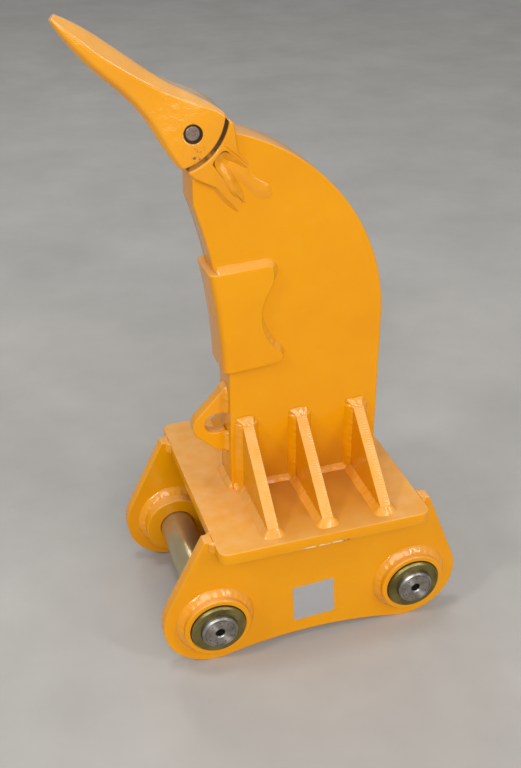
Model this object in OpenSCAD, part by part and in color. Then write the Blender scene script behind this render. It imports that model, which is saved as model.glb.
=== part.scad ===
// Single-tine excavator ripper: a curved shank with a capped nose, welded to a base plate,
// which stands on two ears that carry the stick pin and the link pin.
// Millimetres, +Z up. The origin is on the stick pin's axis, midway between the ears.
// +X runs from the stick pin to the link pin, and the shank's leading edge faces -X.

/* [Pins] */
// Distance from the stick pin's centre to the link pin's centre
pin_centres = 400; // [360:5:440]
// Diameter of both pins
pin_d = 70; // [56:1:78]
// Diametral running clearance between a pin and its hub or collar
pin_play = 0.6; // [0.2:0.1:1.2]
// Length of pin that shows outside its collar
pin_proud = 8.2; // [4:0.2:14]
// Chamfer on the pin's ends
pin_chamfer = 3; // [1:0.5:5]
// Diameter of the tapped puller hole in each pin end
puller_d = 17.5; // [12:0.5:22]
// Depth of the puller hole
puller_depth = 45; // [25:1:60]
// Chamfer at the puller hole's mouth
puller_chamfer = 2; // [0.5:0.5:4]

/* [Hubs and collars] */
// Clear width between the two inner hub faces, where the stick or link goes
jaw_gap = 240; // [210:2:270]
// Outside diameter of a hub
hub_d = 130; // [120:1:145]
// Length of hub outside the ear
hub_proud = 22; // [16:1:30]
// Radial fit-up gap between a hub and the hole in its ear
hub_fit = 0.1; // [0.05:0.05:0.4]
// Chamfer on the hub's edges
hub_chamfer = 2; // [1:0.5:4]
// Outside diameter of a collar
collar_d = 107; // [96:1:112]
// Radial gap round a collar in its counterbore
collar_gap = 1.5; // [0.5:0.1:2.5]
// Depth of the counterbore that seats a collar
collar_seat = 26; // [18:1:32]
// Length of collar that shows outside the hub
collar_proud = 6.4; // [3:0.2:12]
// Chamfer on the collar's outer edge
collar_chamfer = 3.5; // [1:0.5:5]

/* [Ears and base plate] */
// Distance between the two inner ear faces
ear_gap = 310; // [290:2:340]
// Thickness of an ear
ear_t = 25; // [20:1:32]
// Radius of the round lobe about each pin
lobe_r = 100; // [92:1:115]
// Rise of the shallow arch between the lobes
arch_rise = 22; // [10:1:35]
// Flat foot left on each lobe before the arch starts
arch_inset = 15; // [5:1:40]
// Height of the base plate's top face above the pin axes
plate_top = 191; // [170:1:210]
// Thickness of the base plate
plate_t = 25; // [20:1:32]
// Length of the base plate along the shank
plate_len = 413; // [390:1:440]
// Width of the base plate across the ears
plate_w = 450; // [420:2:490]
// Corner radius of the base plate
plate_corner = 19; // [5:1:35]
// Distance of the plate's front end behind the stick pin's axis
plate_front = 1; // [-10:1:15]
// Reach of an ear's horn past the plate's end
horn = 17; // [10:1:26]

/* [Shank] */
// Thickness of the shank
shank_t = 70; // [60:1:80]
// Distance of the straight front edge behind the stick pin's axis
shank_front = 79.5; // [70:0.5:90]
// Depth of the straight foot from front edge to back edge
shank_depth = 294.5; // [270:0.5:320]
// Height above the plate where the front edge starts to curve
front_bend_rise = 233; // [200:1:260]
// Radius of the hollow front edge
front_bend_r = 1150; // [1000:10:1400]
// Height above the plate where the back edge starts to curve
back_bend_rise = 329; // [310:1:345]
// Radius of the round back edge
back_bend_r = 387; // [375:1:410]
// Reach of the lip below the nose ahead of the straight front edge
lip_lead = 55; // [48:1:62]

/* [Nose and adapter] */
// Angle of the tooth's axis above the horizontal
nose_tilt = 42.7; // [38:0.1:47]
// Reach of the tooth's rear end ahead of the straight front edge
nose_lead = 32; // [26:0.5:38]
// Height of the tooth's rear end above the plate
nose_rise = 687.7; // [670:0.5:700]
// Distance of the shank's end face behind the tooth's rear end
nose_setback = 24; // [20:0.5:28]
// Width of the adapter over its cheeks
adapter_w = 90; // [84:1:110]
// Height of the adapter's collar, across the tooth's axis
collar_h = 108; // [100:1:114]
// Width of the collar's band on the cheeks
collar_band = 5; // [4:0.5:10]
// Fit-up gap between a cheek and the shank's side
cheek_fit = 0.2; // [0.1:0.1:0.5]
// Length of the nose inside the tooth
nose_len = 165; // [145:1:180]
// Height of the nose at its root
nose_h = 84; // [76:1:90]
// Width of the nose at its root
nose_w = 64; // [56:1:68]
// Height of the nose at its tip
nose_tip_h = 22; // [16:1:28]
// Width of the nose at its tip
nose_tip_w = 22; // [16:1:28]
// Length of the nose's rounded tip
nose_tip_round = 14; // [8:1:20]
// Distance of the collar's shoulder behind the tooth's rear end
shoulder_s = 14; // [10:1:20]
// Height of the fork's upper side above the tooth's axis
fork_high = 13; // [8:1:18]
// Depth of the fork's lower side below the tooth's axis
fork_low = 18; // [12:1:24]
// Length of the upper leg behind the tooth's rear end
high_leg = 86; // [70:1:100]
// Distance of the bend in the upper leg's outer edge behind the tooth's rear end
high_bend = 52; // [44:1:60]
// Height of that bend above the fork
high_bend_h = 10; // [6:1:16]
// Width of the upper leg's end
high_tip = 5; // [4:0.5:10]
// Length of the lower leg behind the tooth's rear end
low_leg = 122; // [100:1:135]
// Width of the lower leg's end
low_tip = 7; // [4:0.5:12]
// Drop of the lower leg's inner edge towards its end
leg_drop = 29; // [20:1:34]
// Distance of the lower leg's waist behind the tooth's rear end
low_waist = 60; // [46:1:70]
// Depth of the lower leg's outer edge below the tooth's axis, at its waist
low_edge = 45; // [40:1:50]

/* [Tooth] */
// Length of the tooth from rear end to tip
tooth_len = 296; // [280:1:320]
// Height of the tooth at its rear end
tooth_h = 114; // [108:1:124]
// Height of the tooth at its middle
tooth_mid_h = 53; // [46:1:60]
// Height of the blunt tip
tooth_tip_h = 12; // [8:0.5:18]
// Width of the tooth at its rear end
tooth_w = 92; // [86:1:100]
// Width of the tooth at its middle
tooth_mid_w = 52; // [46:1:60]
// Width of the blunt tip
tooth_tip_w = 18; // [12:0.5:26]
// Rise of the tooth's crown over its axis, where the flare is steepest
tooth_crown = 3; // [0:0.5:6]
// Share of the half height that the upper bevel takes at the rear end
bevel_rear = 0.08; // [0.04:0.01:0.15]
// Share of the half height that the lower bevel takes towards the tip
bevel_low = 0.28; // [0.1:0.01:0.4]
// Share of the half width that the bevels leave off the top and bottom faces
bevel_in = 0.55; // [0.3:0.05:0.7]
// Radius of the tooth's rounded rear edge
skirt_r = 93; // [85:1:110]
// Reach of that rounded edge behind the tooth's rear end
skirt_bulge = 15; // [10:1:20]
// Gap between the tooth's rear edge and the collar
skirt_gap = 5.5; // [4:0.5:9]
// Clearance between the nose and the tooth's socket
socket_gap = 0.4; // [0.2:0.1:0.8]

/* [Tooth pin] */
// Diameter of the tooth pin
tooth_pin_d = 24; // [20:0.5:28]
// Diametral clearance of the tooth pin in its holes
tooth_pin_play = 0.6; // [0.2:0.1:1.0]
// Distance of the tooth pin ahead of the tooth's rear end
tooth_pin_s = 28; // [24:0.5:34]
// Depth of each pin end below the tooth's side
tooth_pin_sink = 5; // [2:0.5:8]
// Diameter of the recess round each pin end
pin_recess_d = 31; // [29:0.5:36]
// Depth of that recess
pin_recess = 7; // [4:0.5:9]
// Outside diameter of the retainer ring in the nose
retainer_d = 40; // [36:0.5:46]
// Thickness of the retainer ring
retainer_t = 7; // [5:0.5:9]
// Diametral clearance of the retainer ring in the nose
retainer_play = 0.6; // [0.2:0.1:1.0]
// Depth of the retainer ring below the nose's side
retainer_sink = 4; // [3.5:0.5:6]

/* [Shroud] */
// Height above the plate of the shroud's lower edge, at the front
shroud_low = 260; // [245:1:275]
// Height above the plate of the shroud's upper edge, at the front
shroud_high = 455; // [440:1:470]
// Rise of both edges towards the back
shroud_edge_rise = 8; // [0:1:14]
// Thickness of the shroud's cheeks
shroud_cheek = 12; // [9:0.5:16]
// Thickness of the shroud's front wall
shroud_wall = 12; // [9:0.5:18]
// Radius between the front wall and the cheeks
shroud_round = 14; // [8:1:18]
// Gap between the shroud and the shank
shroud_fit = 0.2; // [0.1:0.1:0.5]
// Reach of the upper cheek behind the straight front edge
cheek_high = 82; // [74:1:92]
// Reach of the lower cheek behind the straight front edge
cheek_low = 99; // [90:1:110]
// Radius of the scallop in the cheek's rear edge
scallop_r = 96; // [85:1:110]
// Width of cheek left at the scallop, behind the straight front edge
scallop_waist = 59.5; // [50:0.5:68]
// Corner cut on the cheeks
cheek_corner = 11; // [5:1:16]

/* [Lifting lug] */
// Thickness of the lug
lug_t = 25; // [20:1:32]
// Radius of the lug's round end
lug_r = 32; // [28:1:36]
// Reach of the round end's centre ahead of the shank
lug_reach = 34.8; // [31:0.2:38]
// Height of the round end's centre above the plate
lug_rise = 134.4; // [128:0.2:140]
// Height of the root's lower end above the plate
lug_low_rise = 77; // [70:1:84]
// Height of the root's upper end above the plate
lug_high_rise = 208; // [198:1:220]
// Reach of the root's upper shoulder ahead of the shank
lug_high_shoulder = 8; // [7.5:0.5:12]
// Reach of the root's lower shoulder ahead of the shank
lug_low_shoulder = 19; // [14:1:24]
// Radius of the eye
eye_r = 20; // [16:0.5:21]
// Reach of the eye's centre ahead of the shank
eye_reach = 23.2; // [21:0.2:26]
// Height of the eye's centre above the plate
eye_rise = 138.5; // [134:0.5:142]

/* [Gussets] */
// Thickness of a gusset
gusset_t = 22; // [16:1:28]
// Height of a gusset on the shank
gusset_h = 147; // [130:1:165]
// Reach of a gusset across the plate, from the shank's side
gusset_len = 161; // [145:1:170]
// Height of the blunt toe
gusset_toe = 12; // [6:1:20]
// Width of the blunt top
gusset_cap = 9; // [6:1:14]
// Distance of the first gusset behind the shank's front edge
gusset_front = 20; // [14:1:30]
// Distance of the last gusset ahead of the shank's back edge
gusset_back = 31; // [20:1:40]
// Shift of the middle gusset towards the front
gusset_shift = 5; // [0:1:12]

/* [Welds] */
// Leg of the fillet welds on plates
weld_leg = 11; // [6:0.5:13]
// Leg of the ring welds round the hubs
ring_leg = 11; // [7:0.5:13]
// Height of the weld that caps each gusset
cap_weld_h = 19; // [12:1:24]
// Overhang of the cap weld on each side of its gusset
cap_weld_over = 7; // [3:1:10]
// Leg of the small seams on the adapter, the shroud and the lug
seam_leg = 8; // [5:0.5:9]
// Length by which neighbouring seams on the shank's side stop short of each other's corner
seam_break = 2; // [1.5:0.5:4]

/* [Hidden] */
$fn = 72;

near = -1;
far = 1;
paint = "orange";
zinc = "darkkhaki";
steel = "silver";
// Larger than the whole ripper, for cutting planes
beyond = 2000;
// Depth at which a grazing line enters its circle
touch_dip = 0.05;

// Places worked out from the sizes above
plate_under = plate_top - plate_t;
plate_back = plate_front + plate_len;
ear_in = ear_gap / 2;
ear_out = ear_in + ear_t;
hub_in = jaw_gap / 2;
hub_out = ear_out + hub_proud;
seat_out = hub_out - collar_seat;
collar_out = hub_out + collar_proud;
pin_out = collar_out + pin_proud;
bore_r = (pin_d + pin_play) / 2;
shank_side = shank_t / 2;
shank_back = shank_front + shank_depth;
front_bend_z = plate_top + front_bend_rise;
back_bend_z = plate_top + back_bend_rise;
front_bend_c = [shank_front - front_bend_r, front_bend_z];
back_bend_c = [shank_back - back_bend_r, back_bend_z];
lip_x = shank_front - lip_lead;
gusset_out = shank_side + gusset_len;
gusset_top = plate_top + gusset_h;
gusset_last = shank_depth - gusset_back - gusset_t;
lug_c = [shank_front - lug_reach, plate_top + lug_rise];
eye_c = [shank_front - eye_reach, plate_top + eye_rise];
lug_low = plate_top + lug_low_rise;
lug_high = plate_top + lug_high_rise;
shroud_side = shank_side + shroud_fit + shroud_cheek;
adapter_side = adapter_w / 2;
fork_s = nose_setback + collar_band;
tooth_side = tooth_w / 2;
tooth_pin_end = tooth_side - tooth_pin_sink;

// Shares and exponents of the cast forms: the tooth's flare and bevels, and the nose's boxy section
flare_share = 0.7;
flare_power = 2.3;
tooth_taper = 5;
bevel_share = 0.85;
nose_box = 5;
skin_n = 32;
tooth_steps = 16;
// The nose's tip shrinks over two rings: where the first lies in the tip, and both shrinks
tip_part = 0.3;
tip_shrink = 0.86;
end_shrink = 0.55;
// Starts of the tooth's skin and of its socket, in reaches of the round rear edge behind the rear end
skin_start = 2;
socket_start = 4;
// Width of a cap weld at half its height, as a share of its foot
cap_weld_waist = 0.7;
// Length by which a cut runs past the face it opens
cut_past = 1;

// Directions in the X-Z plane: along the tooth's axis to the tip, and across it to the top
along = [-cos(nose_tilt), sin(nose_tilt)];
across = [sin(nose_tilt), cos(nose_tilt)];
nose_o = [shank_front - nose_lead, plate_top + nose_rise];

// A point of the X-Z plane from its distances along and across the tooth's axis
function nose_at(s, w) = nose_o + s * along + w * across;

// The tooth's round rear edge is centred on its axis
skirt_s = skirt_r - skirt_bulge;
skirt_c = nose_at(skirt_s, 0);
// Inner face of the retainer ring, on the near side of the nose
retainer_in = retainer_sink + retainer_t - nose_half_w(tooth_pin_s);

// X of the front face of gusset i, counted from the front
function gusset_x(i) =
    shank_front + [gusset_front, (gusset_front + gusset_last) / 2 - gusset_shift, gusset_last][i];

// Point where the line from p grazes the circle about c, on the chosen side
// It dips a hair inside the circle, so that line and arc cross cleanly
function touch(c, r, p, side) =
    let (v = p - c, in = r - touch_dip, turn = atan2(v[1], v[0]) + side * acos(in / norm(v)))
    c + in * [cos(turn), sin(turn)];

// Signed power, for rounded-box sections
function spow(a, p) = sign(a) * pow(abs(a), p);

// Ring of a rounded box at distance s along the tooth's axis, raised by lift across it
function ring(s, lift, half_h, half_w, box, n) =
    [for (i = [0 : n - 1])
        let (t = 360 * i / n,
             w = lift + half_h * spow(cos(t), 2 / box),
             y = half_w * spow(sin(t), 2 / box),
             p = nose_at(s, w))
        [p[0], y, p[1]]];

// Solid skinned over a list of rings that all have n points
module skin(rings, n) {
    last = (len(rings) - 1) * n;
    walls = [for (k = [0 : len(rings) - 2], i = [0 : n - 1], half = [0, 1])
        let (a = k * n + i, b = k * n + (i + 1) % n)
        half == 0 ? [a, a + n, b + n] : [a, b + n, b]];
    ends = [[for (i = [0 : n - 1]) i], [for (i = [n - 1 : -1 : 0]) last + i]];
    polyhedron([for (r = rings, p = r) p], concat(ends, walls));
}

// Extrude an X-Z outline along Y, from y0 to y1
module upright(y0, y1) {
    translate([0, y1, 0])
        rotate([90, 0, 0])
            linear_extrude(y1 - y0)
                children();
}

// Turn a part that stands on Z so that it points along Y, outwards from the given side
module outward(x, side) {
    translate([x, 0, 0])
        rotate([-90 * side, 0, 0])
            children();
}

// Slightly bulged section of a weld with equal legs
module weld_section(leg) {
    bulge = 0.5;
    intersection() {
        square(leg);
        translate([-bulge * leg, -bulge * leg])
            circle(r = leg * norm([1 + bulge, bulge]));
    }
}

// Straight weld from p to q in the corner between the directions u and v
module weld(p, q, u, v, leg) {
    d = (q - p) / norm(q - p);
    multmatrix([[u[0], v[0], d[0], p[0]],
                [u[1], v[1], d[1], p[1]],
                [u[2], v[2], d[2], p[2]]])
        linear_extrude(norm(q - p))
            weld_section(leg);
}

// Base plate with round corners
module base_plate() {
    r = plate_corner;
    color(paint)
        translate([plate_front, -plate_w / 2, plate_under])
            linear_extrude(plate_t) {
                translate([r, 0])
                    square([plate_len - 2 * r, plate_w]);
                translate([0, r])
                    square([plate_len, plate_w - 2 * r]);
                for (x = [r, plate_len - r], y = [r, plate_w - r])
                    translate([x, y])
                        circle(r);
            }
}

// Ear outline: two lobes, slanted edges to the horns, a notch for the plate and an arch below
module ear_outline() {
    front_horn = [plate_front - horn, plate_top];
    back_horn = [plate_back + horn, plate_top];
    arch_half = pin_centres / 2 - arch_inset;
    arch_r = (arch_half * arch_half + arch_rise * arch_rise) / (2 * arch_rise);
    difference() {
        union() {
            polygon([[0, touch_dip - lobe_r], [pin_centres, touch_dip - lobe_r],
                     touch([pin_centres, 0], lobe_r, back_horn, -1), back_horn,
                     [plate_back, plate_top], [plate_back, plate_under],
                     [plate_front, plate_under], [plate_front, plate_top],
                     front_horn, touch([0, 0], lobe_r, front_horn, 1)]);
            for (x = [0, pin_centres])
                translate([x, 0])
                    circle(lobe_r);
        }
        translate([pin_centres / 2, arch_rise - lobe_r - arch_r])
            circle(arch_r, $fn = 240);
        for (x = [0, pin_centres])
            translate([x, 0])
                circle(hub_d / 2 + hub_fit);
    }
}

module ear(side) {
    color(paint)
        upright(side == far ? ear_in : -ear_out, side == far ? ear_out : -ear_in)
            ear_outline();
}

module ear_near() { ear(near); }
module ear_far() { ear(far); }

// Hub: a thick bush through the ear, counterbored outside for its collar
module hub(x, side) {
    c = hub_chamfer;
    r = hub_d / 2;
    seat_r = collar_d / 2 + collar_gap;
    color(paint)
        outward(x, side)
            rotate_extrude()
                polygon([[bore_r, hub_in + c], [bore_r + c, hub_in], [r - c, hub_in],
                         [r, hub_in + c], [r, hub_out - c], [r - c, hub_out],
                         [seat_r, hub_out], [seat_r, seat_out], [bore_r, seat_out]]);
}

module hub_stick_near() { hub(0, near); }
module hub_stick_far() { hub(0, far); }
module hub_link_near() { hub(pin_centres, near); }
module hub_link_far() { hub(pin_centres, far); }

// Collar: a zinc-plated ring round the pin, seated in the hub
module collar(x, side) {
    c = collar_chamfer;
    r = collar_d / 2;
    color(zinc)
        outward(x, side)
            rotate_extrude()
                polygon([[bore_r, seat_out], [r, seat_out], [r, collar_out - c],
                         [r - c, collar_out], [bore_r, collar_out]]);
}

module collar_stick_near() { collar(0, near); }
module collar_stick_far() { collar(0, far); }
module collar_link_near() { collar(pin_centres, near); }
module collar_link_far() { collar(pin_centres, far); }

// Pin: a turned bar with chamfered ends and a puller hole in each end
module pin(x) {
    r = pin_d / 2;
    c = pin_chamfer;
    m = puller_chamfer;
    hole = puller_d / 2;
    floor_in = pin_out - puller_depth;
    color(steel)
        outward(x, far)
            rotate_extrude()
                polygon([[0, -floor_in], [hole, -floor_in], [hole, m - pin_out],
                         [hole + m, -pin_out], [r - c, -pin_out], [r, c - pin_out],
                         [r, pin_out - c], [r - c, pin_out], [hole + m, pin_out],
                         [hole, pin_out - m], [hole, floor_in], [0, floor_in]]);
}

module stick_pin() { pin(0); }
module link_pin() { pin(pin_centres); }

// Shank outline: straight foot, hollow front, round back, cut square to the tooth's axis
module shank_outline() {
    difference() {
        intersection() {
            union() {
                translate([lip_x, plate_top])
                    square([shank_back - lip_x, back_bend_rise]);
                translate(back_bend_c)
                    circle(back_bend_r, $fn = 180);
            }
            translate([lip_x, plate_top])
                square([beyond, beyond]);
            behind_end();
        }
        translate(front_bend_c)
            circle(front_bend_r, $fn = 360);
        translate([shank_front - beyond, 0])
            square([beyond, front_bend_z]);
    }
}

module shank() {
    color(paint)
        upright(-shank_side, shank_side)
            shank_outline();
}

// Gusset: a triangle with a blunt toe and a blunt top
module gusset(i, side) {
    color(paint)
        translate([gusset_x(i), 0, 0])
            rotate([90, 0, 90])
                linear_extrude(gusset_t)
                    polygon([[side * shank_side, plate_top],
                             [side * gusset_out, plate_top],
                             [side * gusset_out, plate_top + gusset_toe],
                             [side * (shank_side + gusset_cap), gusset_top],
                             [side * shank_side, gusset_top]]);
}

module gusset_near_1() { gusset(0, near); }
module gusset_near_2() { gusset(1, near); }
module gusset_near_3() { gusset(2, near); }
module gusset_far_1() { gusset(0, far); }
module gusset_far_2() { gusset(1, far); }
module gusset_far_3() { gusset(2, far); }

// Lifting lug: a round end with tangent shoulders, its eye closed by the shank's edge
module lifting_lug() {
    high = [shank_front - lug_high_shoulder, lug_high];
    low = [shank_front - lug_low_shoulder, lug_low];
    color(paint)
        upright(-lug_t / 2, lug_t / 2)
            difference() {
                union() {
                    translate(lug_c)
                        circle(lug_r);
                    polygon([low, [shank_front, lug_low], [shank_front, lug_high], high,
                             touch(lug_c, lug_r, high, 1), touch(lug_c, lug_r, low, -1)]);
                }
                translate(eye_c)
                    circle(eye_r);
                translate(eye_c - [0, eye_r])
                    square([eye_reach + cut_past, 2 * eye_r]);
            }
}

// Shroud section across the leading edge: a U with round outer corners, as radius and Y
module shroud_section() {
    reach = max(cheek_low, cheek_high) + lip_lead;
    r = shroud_round;
    front = front_bend_r - shroud_fit - shroud_wall;
    back = front_bend_r + reach;
    difference() {
        union() {
            translate([front + r, -shroud_side])
                square([back - front - r, 2 * shroud_side]);
            translate([front, r - shroud_side])
                square([back - front, 2 * (shroud_side - r)]);
            for (y = [r - shroud_side, shroud_side - r])
                translate([front + r, y])
                    circle(r);
        }
        translate([front_bend_r - shroud_fit, -shank_side - shroud_fit])
            square([reach + cut_past, shank_t + 2 * shroud_fit]);
    }
}

// Side view of the shroud's cheek, with cut corners and a scalloped rear edge
module cheek_outline() {
    low = plate_top + shroud_low;
    high = plate_top + shroud_high;
    c = cheek_corner;
    rise = shroud_edge_rise;
    x_low = shank_front + cheek_low;
    x_high = shank_front + cheek_high;
    x_front = lip_x - shroud_wall;
    difference() {
        polygon([[x_front, low], [x_low - c, low + rise],
                 [x_low, low + rise + c], [x_low, (low + high) / 2],
                 [x_high, (low + high) / 2], [x_high, high + rise - c],
                 [x_high - c, high + rise], [x_front, high]]);
        translate([shank_front + scallop_waist + scallop_r, (low + high) / 2 + rise])
            circle(scallop_r);
    }
}

// Shroud: the section revolved about the axis of the hollow front edge, cut to the side view
module shroud() {
    color(paint)
        intersection() {
            translate([front_bend_c[0], 0, front_bend_c[1]])
                rotate([90, 0, 0])
                    rotate_extrude($fn = 360)
                        shroud_section();
            upright(-shroud_side, shroud_side)
                cheek_outline();
        }
}

// Side view of the adapter: a collar behind the tooth's rear edge, forked into two legs
module adapter_outline() {
    h = collar_h / 2;
    low_s = fork_low + leg_drop;
    difference() {
        polygon([nose_at(0, h), nose_at(-shoulder_s, h), nose_at(-high_bend, fork_high + high_bend_h),
                 nose_at(-high_leg, fork_high + high_tip), nose_at(-high_leg, fork_high),
                 nose_at(-fork_s, fork_high), nose_at(-fork_s, -fork_low),
                 nose_at(-low_leg, -low_s), nose_at(-low_leg, -low_s - low_tip),
                 nose_at(-low_waist, -low_edge), nose_at(-nose_setback, -h),
                 nose_at(0, -h)]);
        translate(skirt_c)
            circle(skirt_r + skirt_gap);
    }
}

// Half plane of the shank, behind its end face
module behind_end() {
    s = -nose_setback;
    polygon([nose_at(s, -beyond), nose_at(s, beyond), nose_at(s - beyond, beyond),
             nose_at(s - beyond, -beyond)]);
}

// Half height and half width of the nose at distance s
function nose_taper(s) = (s + nose_setback) / (nose_len + nose_setback);
function nose_half_h(s) = (nose_h + (nose_tip_h - nose_h) * nose_taper(s)) / 2;
function nose_half_w(s) = (nose_w + (nose_tip_w - nose_w) * nose_taper(s)) / 2;

// Rings of the nose, grown by gap, from start to its rounded tip
function nose_rings(start, gap) =
    [for (k = [[start, 1], [nose_len / 2, 1], [nose_len - nose_tip_round, 1],
               [nose_len - tip_part * nose_tip_round, tip_shrink], [nose_len + gap, end_shrink]])
        ring(k[0], 0, k[1] * nose_half_h(k[0]) + gap, k[1] * nose_half_w(k[0]) + gap,
             nose_box, skin_n)];

// Hole along Y through the tooth pin's axis
module cross_hole(d, y0, y1) {
    p = nose_at(tooth_pin_s, 0);
    translate([p[0], y0, p[1]])
        rotate([-90, 0, 0])
            cylinder(d = d, h = y1 - y0);
}

// Adapter: collar and cheeks over the shank's end, with a tapered nose for the tooth
module adapter() {
    color(paint)
        difference() {
            union() {
                difference() {
                    upright(-adapter_side, adapter_side)
                        adapter_outline();
                    upright(-shank_side - cheek_fit, shank_side + cheek_fit)
                        behind_end();
                }
                skin(nose_rings(-nose_setback, 0), skin_n);
            }
            cross_hole(tooth_pin_d + tooth_pin_play, -adapter_side, adapter_side);
            cross_hole(retainer_d + retainer_play, -adapter_side, retainer_in);
        }
}

// Half size of the tooth at distance s: a flare at the rear, then a taper that ends blunt
function tooth_part(s) = max(0, s / tooth_len);
function flare(s) = pow((1 + cos(180 * min(1, tooth_part(s) / flare_share))) / 2, flare_power);
function blunt(s) = 1 - pow(tooth_part(s), tooth_taper);
function crown(s) = tooth_crown * sin(180 * min(1, tooth_part(s) / flare_share));
function tooth_half(s, rear, mid, tip) =
    (tip + (mid - tip) * blunt(s) + (rear - mid) * flare(s)) / 2;

// Growth of the bevels from the rear end to the tip
function bevel_grow(s) = sin(90 * min(1, tooth_part(s) / bevel_share));

// Ring of the tooth: flat sides between an upper and a lower bevel, which grow towards the tip
function tooth_ring(s) =
    let (h = tooth_half(s, tooth_h, tooth_mid_h, tooth_tip_h),
         w = tooth_half(s, tooth_w, tooth_mid_w, tooth_tip_w),
         g = bevel_grow(s),
         high = bevel_rear + (1 - bevel_rear) * g * g,
         low = bevel_rear + bevel_low * g,
         in = w * (1 - bevel_rear - bevel_in * g),
         half = [[h, in], [h - h * high, w], [h * low - h, w], [-h, in]])
    [for (i = [0 : 7])
        let (q = half[i < 4 ? i : 7 - i], p = nose_at(s, crown(s) + q[0]))
        [p[0], i < 4 ? q[1] : -q[1], p[1]]];

// Tooth: a cast cap skinned over ridged rings, hollow for the nose, with a round rear edge
module tooth() {
    outer = [for (k = [0 : tooth_steps])
        tooth_ring((tooth_len + skin_start * skirt_bulge) * k / tooth_steps - skin_start * skirt_bulge)];
    color(paint)
        difference() {
            skin(outer, len(outer[0]));
            skin(nose_rings(-socket_start * skirt_bulge, socket_gap), skin_n);
            upright(-tooth_w, tooth_w)
                difference() {
                    polygon([nose_at(skirt_s, -tooth_h), nose_at(skirt_s, tooth_h),
                             nose_at(-tooth_h, tooth_h), nose_at(-tooth_h, -tooth_h)]);
                    translate(skirt_c)
                        circle(skirt_r);
                }
            cross_hole(tooth_pin_d + tooth_pin_play, -tooth_w, tooth_w);
            cross_hole(pin_recess_d, -tooth_w, pin_recess - tooth_side);
            cross_hole(pin_recess_d, tooth_side - pin_recess, tooth_w);
        }
}

// Tooth pin: a plain steel dowel through tooth and nose
module tooth_pin() {
    color(steel)
        cross_hole(tooth_pin_d, -tooth_pin_end, tooth_pin_end);
}

// Retainer: a ring in the nose's near side that grips the tooth pin
module pin_retainer() {
    color(zinc)
        difference() {
            cross_hole(retainer_d, retainer_in - retainer_t, retainer_in);
            cross_hole(tooth_pin_d + tooth_pin_play, -tooth_w, tooth_w);
        }
}

// Weld with two different legs, for the caps over the gussets
module cap_weld(x, side) {
    a = gusset_cap;
    b = cap_weld_h;
    translate([x - cap_weld_over, side * shank_side, gusset_top])
        rotate([90, 0, 90])
            linear_extrude(gusset_t + 2 * cap_weld_over)
                polygon([[0, 0], [side * a, 0], [side * a * cap_weld_waist, b / 2], [0, b]]);
}

// Seams of the shank's foot and of all gussets
module foot_welds() {
    up = [0, 0, 1];
    back = [1, 0, 0];
    starts = [shank_front, for (i = [0 : 2]) gusset_x(i) + gusset_t];
    stops = [for (i = [0 : 2]) gusset_x(i), shank_back];
    color(paint) {
        for (side = [near, far]) {
            out = [0, side, 0];
            y = side * shank_side;
            for (i = [0 : 3])
                weld([starts[i], y, plate_top], [stops[i], y, plate_top], out, up, weld_leg);
            for (i = [0 : 2], face = [0, 1]) {
                x = gusset_x(i) + face * gusset_t;
                away = (2 * face - 1) * back;
                weld([x, y, plate_top], [x, y, gusset_top], away, out, weld_leg);
                weld([x, y, plate_top], [x, side * gusset_out, plate_top], away, up, weld_leg);
            }
            for (i = [0 : 2]) {
                x = gusset_x(i);
                toe = [x, side * gusset_out, plate_top];
                weld(toe, toe + gusset_t * back, out, up, weld_leg);
                cap_weld(x, side);
            }
        }
        for (end = [[shank_front, -1], [shank_back, 1]])
            weld([end[0], -shank_side, plate_top], [end[0], shank_side, plate_top],
                 end[1] * back, up, weld_leg);
    }
}

// Seams between the ears and the base plate, below the plate and up its ends
module ear_welds() {
    down = [0, 0, -1];
    color(paint)
        for (side = [near, far], face = [[ear_out, 1], [ear_in, -1]]) {
            y = side * face[0];
            away = [0, side * face[1], 0];
            weld([plate_front, y, plate_under], [plate_back, y, plate_under], away, down, weld_leg);
            for (end = [[plate_front, -1], [plate_back, 1]])
                weld([end[0], y, plate_under], [end[0], y, plate_top], [end[1], 0, 0], away, weld_leg);
        }
}

// Ring seams round every hub, on both faces of its ear
module hub_welds() {
    color(paint)
        for (x = [0, pin_centres], side = [near, far])
            outward(x, side)
                rotate_extrude() {
                    translate([hub_d / 2, ear_out])
                        weld_section(ring_leg);
                    translate([hub_d / 2, ear_in])
                        mirror([0, 1])
                            weld_section(ring_leg);
                }
}

// Seams of the lifting lug, above and below its eye and across both ends of its root
module lug_welds() {
    ahead = [-1, 0, 0];
    spans = [[lug_low, eye_c[1] - eye_r], [eye_c[1] + eye_r, lug_high]];
    color(paint) {
        for (side = [near, far], z = spans)
            weld([shank_front, side * lug_t / 2, z[0]], [shank_front, side * lug_t / 2, z[1]],
                 ahead, [0, side, 0], seam_leg);
        for (end = [[lug_low, -1], [lug_high, 1]])
            weld([shank_front, -lug_t / 2, end[0]], [shank_front, lug_t / 2, end[0]],
                 ahead, [0, 0, end[1]], seam_leg);
    }
}

// Seam on one side of the shank along a line of the X-Z plane, on that line's left
// It stops short of both points by the given length
module side_seam(a, b, side, short) {
    d = (b - a) / norm(b - a);
    y = side * shank_side;
    p = a + short * d;
    q = b - short * d;
    weld([p[0], y, p[1]], [q[0], y, q[1]], [-d[1], 0, d[0]], [0, side, 0], seam_leg);
}

// Seams along the shroud's upper edge
module shroud_welds() {
    front_end = [lip_x - shroud_wall, plate_top + shroud_high];
    back_end = [shank_front + cheek_high - cheek_corner, front_end[1] + shroud_edge_rise];
    edge = sqrt(pow(front_bend_r, 2) - pow(back_end[1] - front_bend_z, 2)) + front_bend_c[0];
    reach = (edge - front_end[0]) / (back_end[0] - front_end[0]);
    color(paint)
        for (side = [near, far])
            side_seam(front_end + reach * (back_end - front_end), back_end, side, seam_break);
}

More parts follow.
